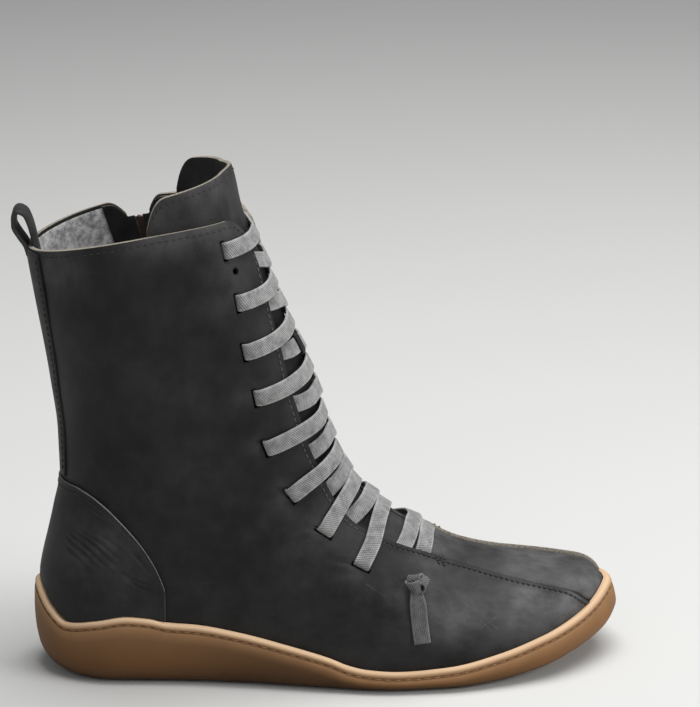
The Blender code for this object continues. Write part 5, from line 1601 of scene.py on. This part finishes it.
lace_path = []
lace_across = []
lace_pinch = []


def lead_lace(points, across, pinch=1.0):
    lace_path.extend(points)
    lace_across.extend(np.broadcast_to(across, np.shape(points)))
    lace_pinch.extend(np.full(len(points), pinch))


def lead_over(heights, turns, lifts, way, roll=0.0):
    """Leads the lace along the upper, its width square to its way there."""
    points = off_surface(heights, turns, lifts)
    out = surface_normal(heights, turns)
    across = unit(way * np.cross(out, np.gradient(points, axis=0)))
    lead_lace(points, across - roll * out)


def lead_under(start, end, way):
    """Leads the lace inside the leather, from one (height, turn) to another, both left out."""
    share = np.linspace(0, 1, 6)[1:-1]
    heights, turns = (a + (b - a) * share for a, b in zip(start, end))
    lead_over(heights, turns, np.full_like(heights, UNDER_DEPTH), way)


def lead_through_hole(place, side, way, outward):
    height, along = place
    turn = turn_at_place(height, along, side)
    out = surface_normal(height, turn)
    steps = HOLE_TURN if outward else HOLE_TURN[::-1]
    level = unit(np.cross(out, (0, 0, 1)))
    lead_lace([last_surface(height, turn) + out * s for s in steps], way * level, HOLE_PINCH)
    return height, turn


def strap_end(row, side):
    heights, turns = strap_course(row, side, STRAP_SHARES[-1:])
    return heights[0], turns[0]


def slit_place(row, side):
    return row[0], turn_at_place(row[0], row[1], side)


knot_hole = lead_through_hole(OUTER_KNOT, -1, 1, False)
bar_share = np.linspace(-1, 1, 13)
bar_heights = BOTTOM_BAR[0] + (BOTTOM_BAR[1] - BOTTOM_BAR[0]) * (1 - bar_share ** 2)
bar_from, bar_to = throat_outer(BOTTOM_BAR[0]), throat_inner(BOTTOM_BAR[0])
bar_widths = bar_from * (1 - bar_share) / 2 + bar_to * (1 + bar_share) / 2
bar_turns = turn_at_width(bar_heights, bar_widths)
bar_lifts = -2.7 + 3.3 * np.sqrt(1 - bar_share ** 2)
lead_under(knot_hole, (bar_heights[0], bar_turns[0]), 1)
lead_over(bar_heights, bar_turns, bar_lifts, 1)
last_end = (bar_heights[-1], bar_turns[-1])
way = 1
for outer_row, inner_row in zip(SLITS[-2::-1], inner_slits()[::-1]):
    for row, side in ((inner_row, 1), (outer_row, -1)):
        lead_under(last_end, slit_place(row, side), way)
        way = -side
        centre, ahead, across, out = slit_axes(row, side)
        lead_lace([centre + ahead * a + out * b for a, b in SLIT_TURN], way * np.cross(out, ahead))
        lead_over(*strap_course(row, side, STRAP_SHARES), strap_lift(STRAP_SHARES), way, LACE_ROLL)
        last_end = strap_end(row, side)
top_hole = (INNER_KNOT[0], turn_at_place(*INNER_KNOT, 1))
lead_under(last_end, top_hole, way)
lead_through_hole(INNER_KNOT, 1, way, True)


def eased(values, passes=4):
    for _ in range(passes):
        values = np.concatenate([values[:1], (values[:-2] + 2 * values[1:-1] + values[2:]) / 4, values[-1:]])
    return values


def woven(name, path, across, pinch, cad_node, finish):
    """A piece of flat lace along a path, with the places across and along it kept for its weave."""
    outline = strip_outline(LACE_WIDTH, LACE_THICKNESS)
    strip = run_strip(path, across, outline)
    narrowed = path[:, None] + (strip - path[:, None]) * pinch[:, None, None]
    piece = piece_of(name, *lofted(narrowed), finish)
    length = lengths_along(path)
    paint_share(piece, "lace_across", narrowed, np.tile(outline[:, 0], (len(path), 1)))
    paint_share(piece, "lace_along", narrowed, np.repeat(length[:, None], len(outline), 1))
    hand_in(piece, "boot", "lace", cad_node)


def lace_finish(name, dark, light, selvedge_tint):
    material, tree, shader = finish_of(name, Roughness=0.9, Sheen_Weight=0.25, Sheen_Roughness=0.4)
    across_place, along_place = painted(tree, "lace_across"), painted(tree, "lace_along")
    chevron = maths(tree, "ADD", along_place, maths(tree, "MULTIPLY", across_place, 0.45))
    ribs = maths(tree, "SINE", maths(tree, "MULTIPLY", chevron, 2 * math.pi / 0.95))
    rows_across = maths(tree, "SINE", maths(tree, "MULTIPLY", across_place, 2 * math.pi / 0.85))
    weave = maths(tree, "ADD", maths(tree, "MULTIPLY", ribs, 0.6), maths(tree, "MULTIPLY", rows_across, 0.25))
    where = place_in(tree)
    fuzz = noise(tree, where, 1500.0, 3.0)
    selvedge = spread(tree, maths(tree, "ABSOLUTE", across_place), LACE_WIDTH / 2 - 1.1, LACE_WIDTH / 2 - 0.5)
    yarn = spread(tree, maths(tree, "ADD", weave, maths(tree, "MULTIPLY", fuzz, 0.8)), -0.6, 1.2)
    tint = blend_colour(tree, yarn, (*dark, 1), (*light, 1))
    tint = blend_colour(tree, maths(tree, "MULTIPLY", selvedge, 0.5), tint, (*selvedge_tint, 1))
    soil = noise(tree, where, 240.0, 4.0, 0.65)
    soiled = node(tree, "VectorMath", {"operation": "SCALE"}, _0=tint)
    tree.links.new(spread(tree, soil, 0.32, 0.62, 0.62, 1.16), soiled.inputs["Scale"])
    tree.links.new(soiled.outputs[0], shader.inputs["Base Color"])
    relief = maths(tree, "ADD", weave, maths(tree, "MULTIPLY", fuzz, 0.6))
    roughen(tree, shader, relief, 0.55, 0.00022)
    return material


lace_cloth = lace_finish("lace_cloth", (0.125, 0.125, 0.125), (0.32, 0.317, 0.315), (0.40, 0.40, 0.395))
lace_path, lace_across, lace_pinch = even_path(
    np.array(lace_path), LACE_STEP, np.array(lace_across), np.array(lace_pinch)[:, None])
woven("lace", eased(lace_path), eased(lace_across), eased(lace_pinch)[:, 0], "lace_bars", lace_cloth)

# Lace knots and ends
# At each end the lace is tied in one overhand knot that is too thick for its hole. Its end hangs from the
# knot, cut straight and sealed.
# The knots and ends take a darker copy of the lace's finish: painted shade where they lie low on the side of
# the vamp
lace_end_shaded_cloth = lace_finish(
    "lace_end_shaded_cloth", (0.048, 0.047, 0.047), (0.145, 0.142, 0.142), (0.18, 0.178, 0.176))
KNOT_SIZE, KNOT_LIFT = (11.0, 9.0, 6.0), 0.6
KNOT_PATH = (4.3, 3.5, 1.5)
KNOT_BAND = 0.78
END_LIFT, END_DROP = 2.2, 0.8
OUTER_END, INNER_END = (22.0, 174.5), (178.0, 90.0)
for place, end, side, name in ((OUTER_KNOT, OUTER_END, -1, "outer"), (INNER_KNOT, INNER_END, 1, "inner")):
    height, along = place
    turn = turn_at_place(height, along, side)
    out = surface_normal(height, turn)
    level = unit(np.cross(out, (0, 0, 1)))
    axes = np.stack([level, np.cross(out, level), out])
    centre = last_surface(height, turn) + out * (KNOT_SIZE[2] / 2 + KNOT_LIFT)
    t = np.linspace(0, 2 * np.pi, 150)
    tied = np.stack([np.sin(t) + 2 * np.sin(2 * t), np.cos(t) - 2 * np.cos(2 * t), -3 * np.sin(3 * t)], 1) / 3
    tied *= KNOT_PATH
    outward = unit(tied / (np.array(KNOT_SIZE) / 2) ** 2 + (0, 0, 0.02))
    across = np.cross(np.gradient(tied, axis=0), outward)
    knot_path, knot_across, knot_pinch = centre + tied @ axes, across @ axes, np.full(len(t), KNOT_BAND)
    woven(f"lace_knot_{name}_tied", knot_path, knot_across, knot_pinch, f"lace_knot_{name}", lace_end_shaded_cloth)
    below = last_surface(height - 1, turn_at_place(height - 1, along, side))
    slope = np.linalg.norm(last_surface(height, turn) - below)
    top = height - KNOT_SIZE[1] / 2 * 0.8 / slope
    share = np.linspace(0, 1, 40)
    heights = top + (end[0] - top) * share
    turns = turn_at_place(heights, along + (end[1] - along) * share, side)
    lift = END_LIFT - END_DROP * ramp(0, 0.6, share) + 0.5 * np.sin(2.2 * np.pi * share) * share
    path = off_surface(heights, turns, lift)
    out = surface_normal(heights, turns)
    lean = 0.25 * np.sin(np.pi * share)[:, None] * out
    across = unit(np.cross(out, np.gradient(path, axis=0))) + lean
    end_pinch = 0.8 + 0.2 * ramp(0, 0.25, share)
    woven(f"lace_end_{name}_strip", path, across, end_pinch, f"lace_end_{name}", lace_end_shaded_cloth)

# Keeper
# A narrow band of leather sewn to the middle of the tongue. One strap of the lace runs through it, so that
# the tongue can't slide down.
KEEPER_ROW, KEEPER_SIDE, KEEPER_BAND, KEEPER_THICKNESS = 2, -6.0, 5.0, 0.8
KEEPER_ROOM, KEEPER_DEPTH_ROOM, KEEPER_STEPS = 0.4, 0.7, 60
keeper_row = inner_slits()[KEEPER_ROW]
keeper_shares = np.linspace(0, 1, 81)
heights, turns = strap_course(keeper_row, 1, keeper_shares)
strap_points = off_surface(heights, turns, strap_lift(keeper_shares))
spot = int(np.argmin(np.abs(strap_points[:, 1] - KEEPER_SIDE)))
ahead = unit(strap_points[spot + 1] - strap_points[spot - 1])
out = surface_normal(heights[spot], turns[spot])
out = unit(out - ahead * np.dot(out, ahead))
up = np.cross(out, ahead)
up = unit(up - LACE_ROLL * out * np.sign(up[2]))
out = np.cross(ahead, up)
keeper_half = (LACE_WIDTH / 2 + KEEPER_ROOM + KEEPER_THICKNESS / 2, LACE_THICKNESS / 2 + KEEPER_DEPTH_ROOM)
keeper_round = squarish(circle(KEEPER_STEPS), (0.35, 0.6)) * keeper_half
keeper_path = strap_points[spot] + keeper_round @ np.stack([up, out])
keeper_outline = strip_outline(KEEPER_BAND, KEEPER_THICKNESS)
keeper_strip = run_strip(keeper_path, np.tile(ahead, (KEEPER_STEPS, 1)), keeper_outline)
keeper_size = len(keeper_outline)
keeper_faces = loft_faces(KEEPER_STEPS + 1, keeper_size)
keeper_faces = [tuple(i % (KEEPER_STEPS * keeper_size) for i in face) for face in keeper_faces]
keeper = piece_of("tongue_keeper", keeper_strip.reshape(-1, 3), keeper_faces, upper_leather)
hand_in(keeper, "boot", "leather", "tongue_loop")

# Seams
# The leather is sewn with strong thread, about three millimetres to a stitch: dark along the collar, the
# lapped seams of the vamp, the counter, the back strip and the tongue's top, grey along the throat and brown
# beside the zip.
# Each sewing has its pitch, the length of a stitch and the thickness of its thread
SEAM_SEWING, VAMP_SEWING, BARTACK_SEWING = (3.0, 2.2, 0.5), (2.5, 1.6, 0.85), (1.9, 1.3, 0.9)
BARTACK_PLACE, BARTACK_LENGTH, BARTACK_INSETS = 184.0, 3.0, (1.4, 4.2, 5.7)
ZIP_INSET, ZIP_SECOND, STRIP_INSET = 2.4, 5.2, 2.2
VAMP_SEAM_LOWEST = 14.0


def inset_path(points, normals, distance):
    """The line at this distance from the first column of a grid of points, and its normals."""
    lengths = np.linalg.norm(np.diff(points, axis=1), axis=2)
    lengths = np.concatenate([np.zeros((len(points), 1)), np.cumsum(lengths, axis=1)], 1)
    line = []
    for values in (points, normals):
        line.append(np.array([value_along(v, s, distance) for s, v in zip(lengths, values)]))
    return line


def seam(points, normals, distance, sewing=SEAM_SEWING):
    return stitch_row(*inset_path(points, normals, distance), *sewing)


top_row = UPPER_ROWS - 4
outer_panel = (upper_points[:, OUTER_COLUMNS::-1], upper_normals[:, OUTER_COLUMNS::-1])
inner_panel = (upper_points[:, inner_column:zip_column + 1], upper_normals[:, inner_column:zip_column + 1])
zip_front = (upper_points[:, zip_column:inner_column:-1], upper_normals[:, zip_column:inner_column:-1])
zip_back = (upper_points[:, zip_column + 1:], upper_normals[:, zip_column + 1:])
collar_edge = [values[::-1].transpose(1, 0, 2) for values in (upper_points, upper_normals)]
vamp_row = int(np.searchsorted(upper_levels, VAMP_SEAM_LOWEST))
dark_rows = [
    seam(*(v[vamp_row:vamp_last_row] for v in outer_panel), SEAM_INSET, VAMP_SEWING),
    seam(*(v[vamp_row:vamp_last_row] for v in inner_panel), SEAM_INSET),
    seam(*(v[:OUTER_COLUMNS - 5] for v in collar_edge), SEAM_INSET),
    seam(*(v[inner_column + 5:zip_column - 4] for v in collar_edge), SEAM_INSET),
    seam(*(v[zip_column + 5:] for v in collar_edge), SEAM_INSET),
    seam(*(v[::-1].transpose(1, 0, 2)[12:-12] for v in (counter_points, counter_normals)), SEAM_INSET),
    seam(*(v[2:-2] for v in (strip_points, strip_normals)), STRIP_INSET),
    seam(*(v[2:-2, ::-1] for v in (strip_points, strip_normals)), STRIP_INSET),
    seam(*(v[::-1].transpose(1, 0, 2)[2:-2] for v in (tongue_points, tongue_normals)), SEAM_INSET),
]
for panel in (outer_panel, inner_panel):
    for inset in BARTACK_INSETS:
        line, normals = inset_path(*panel, inset)
        spots = np.abs(line[:, 0] - BARTACK_PLACE) < BARTACK_LENGTH
        dark_rows.append(stitch_row(line[spots], normals[spots], *BARTACK_SEWING))
dark_thread = thread_finish("dark_thread", (0.022, 0.022, 0.021))
sewn("leather_seams", dark_rows, dark_thread)
throat_rows = [
    seam(*(v[vamp_last_row:top_row] for v in panel), SEAM_INSET) for panel in (outer_panel, inner_panel)
]
sewn("throat_seams", throat_rows, thread_finish("grey_thread", (0.105, 0.098, 0.092)))
zip_rows = slice(zip_first_row + 1, top_row)
brown_rows = [
    seam(*(v[zip_rows] for v in zip_front), ZIP_INSET),
    seam(*(v[zip_rows] for v in zip_front), ZIP_SECOND),
    seam(*(v[zip_rows] for v in zip_back), ZIP_INSET),
]
brown_thread = thread_finish("brown_thread", (0.085, 0.066, 0.054))
sewn("zip_seams", brown_rows, brown_thread)
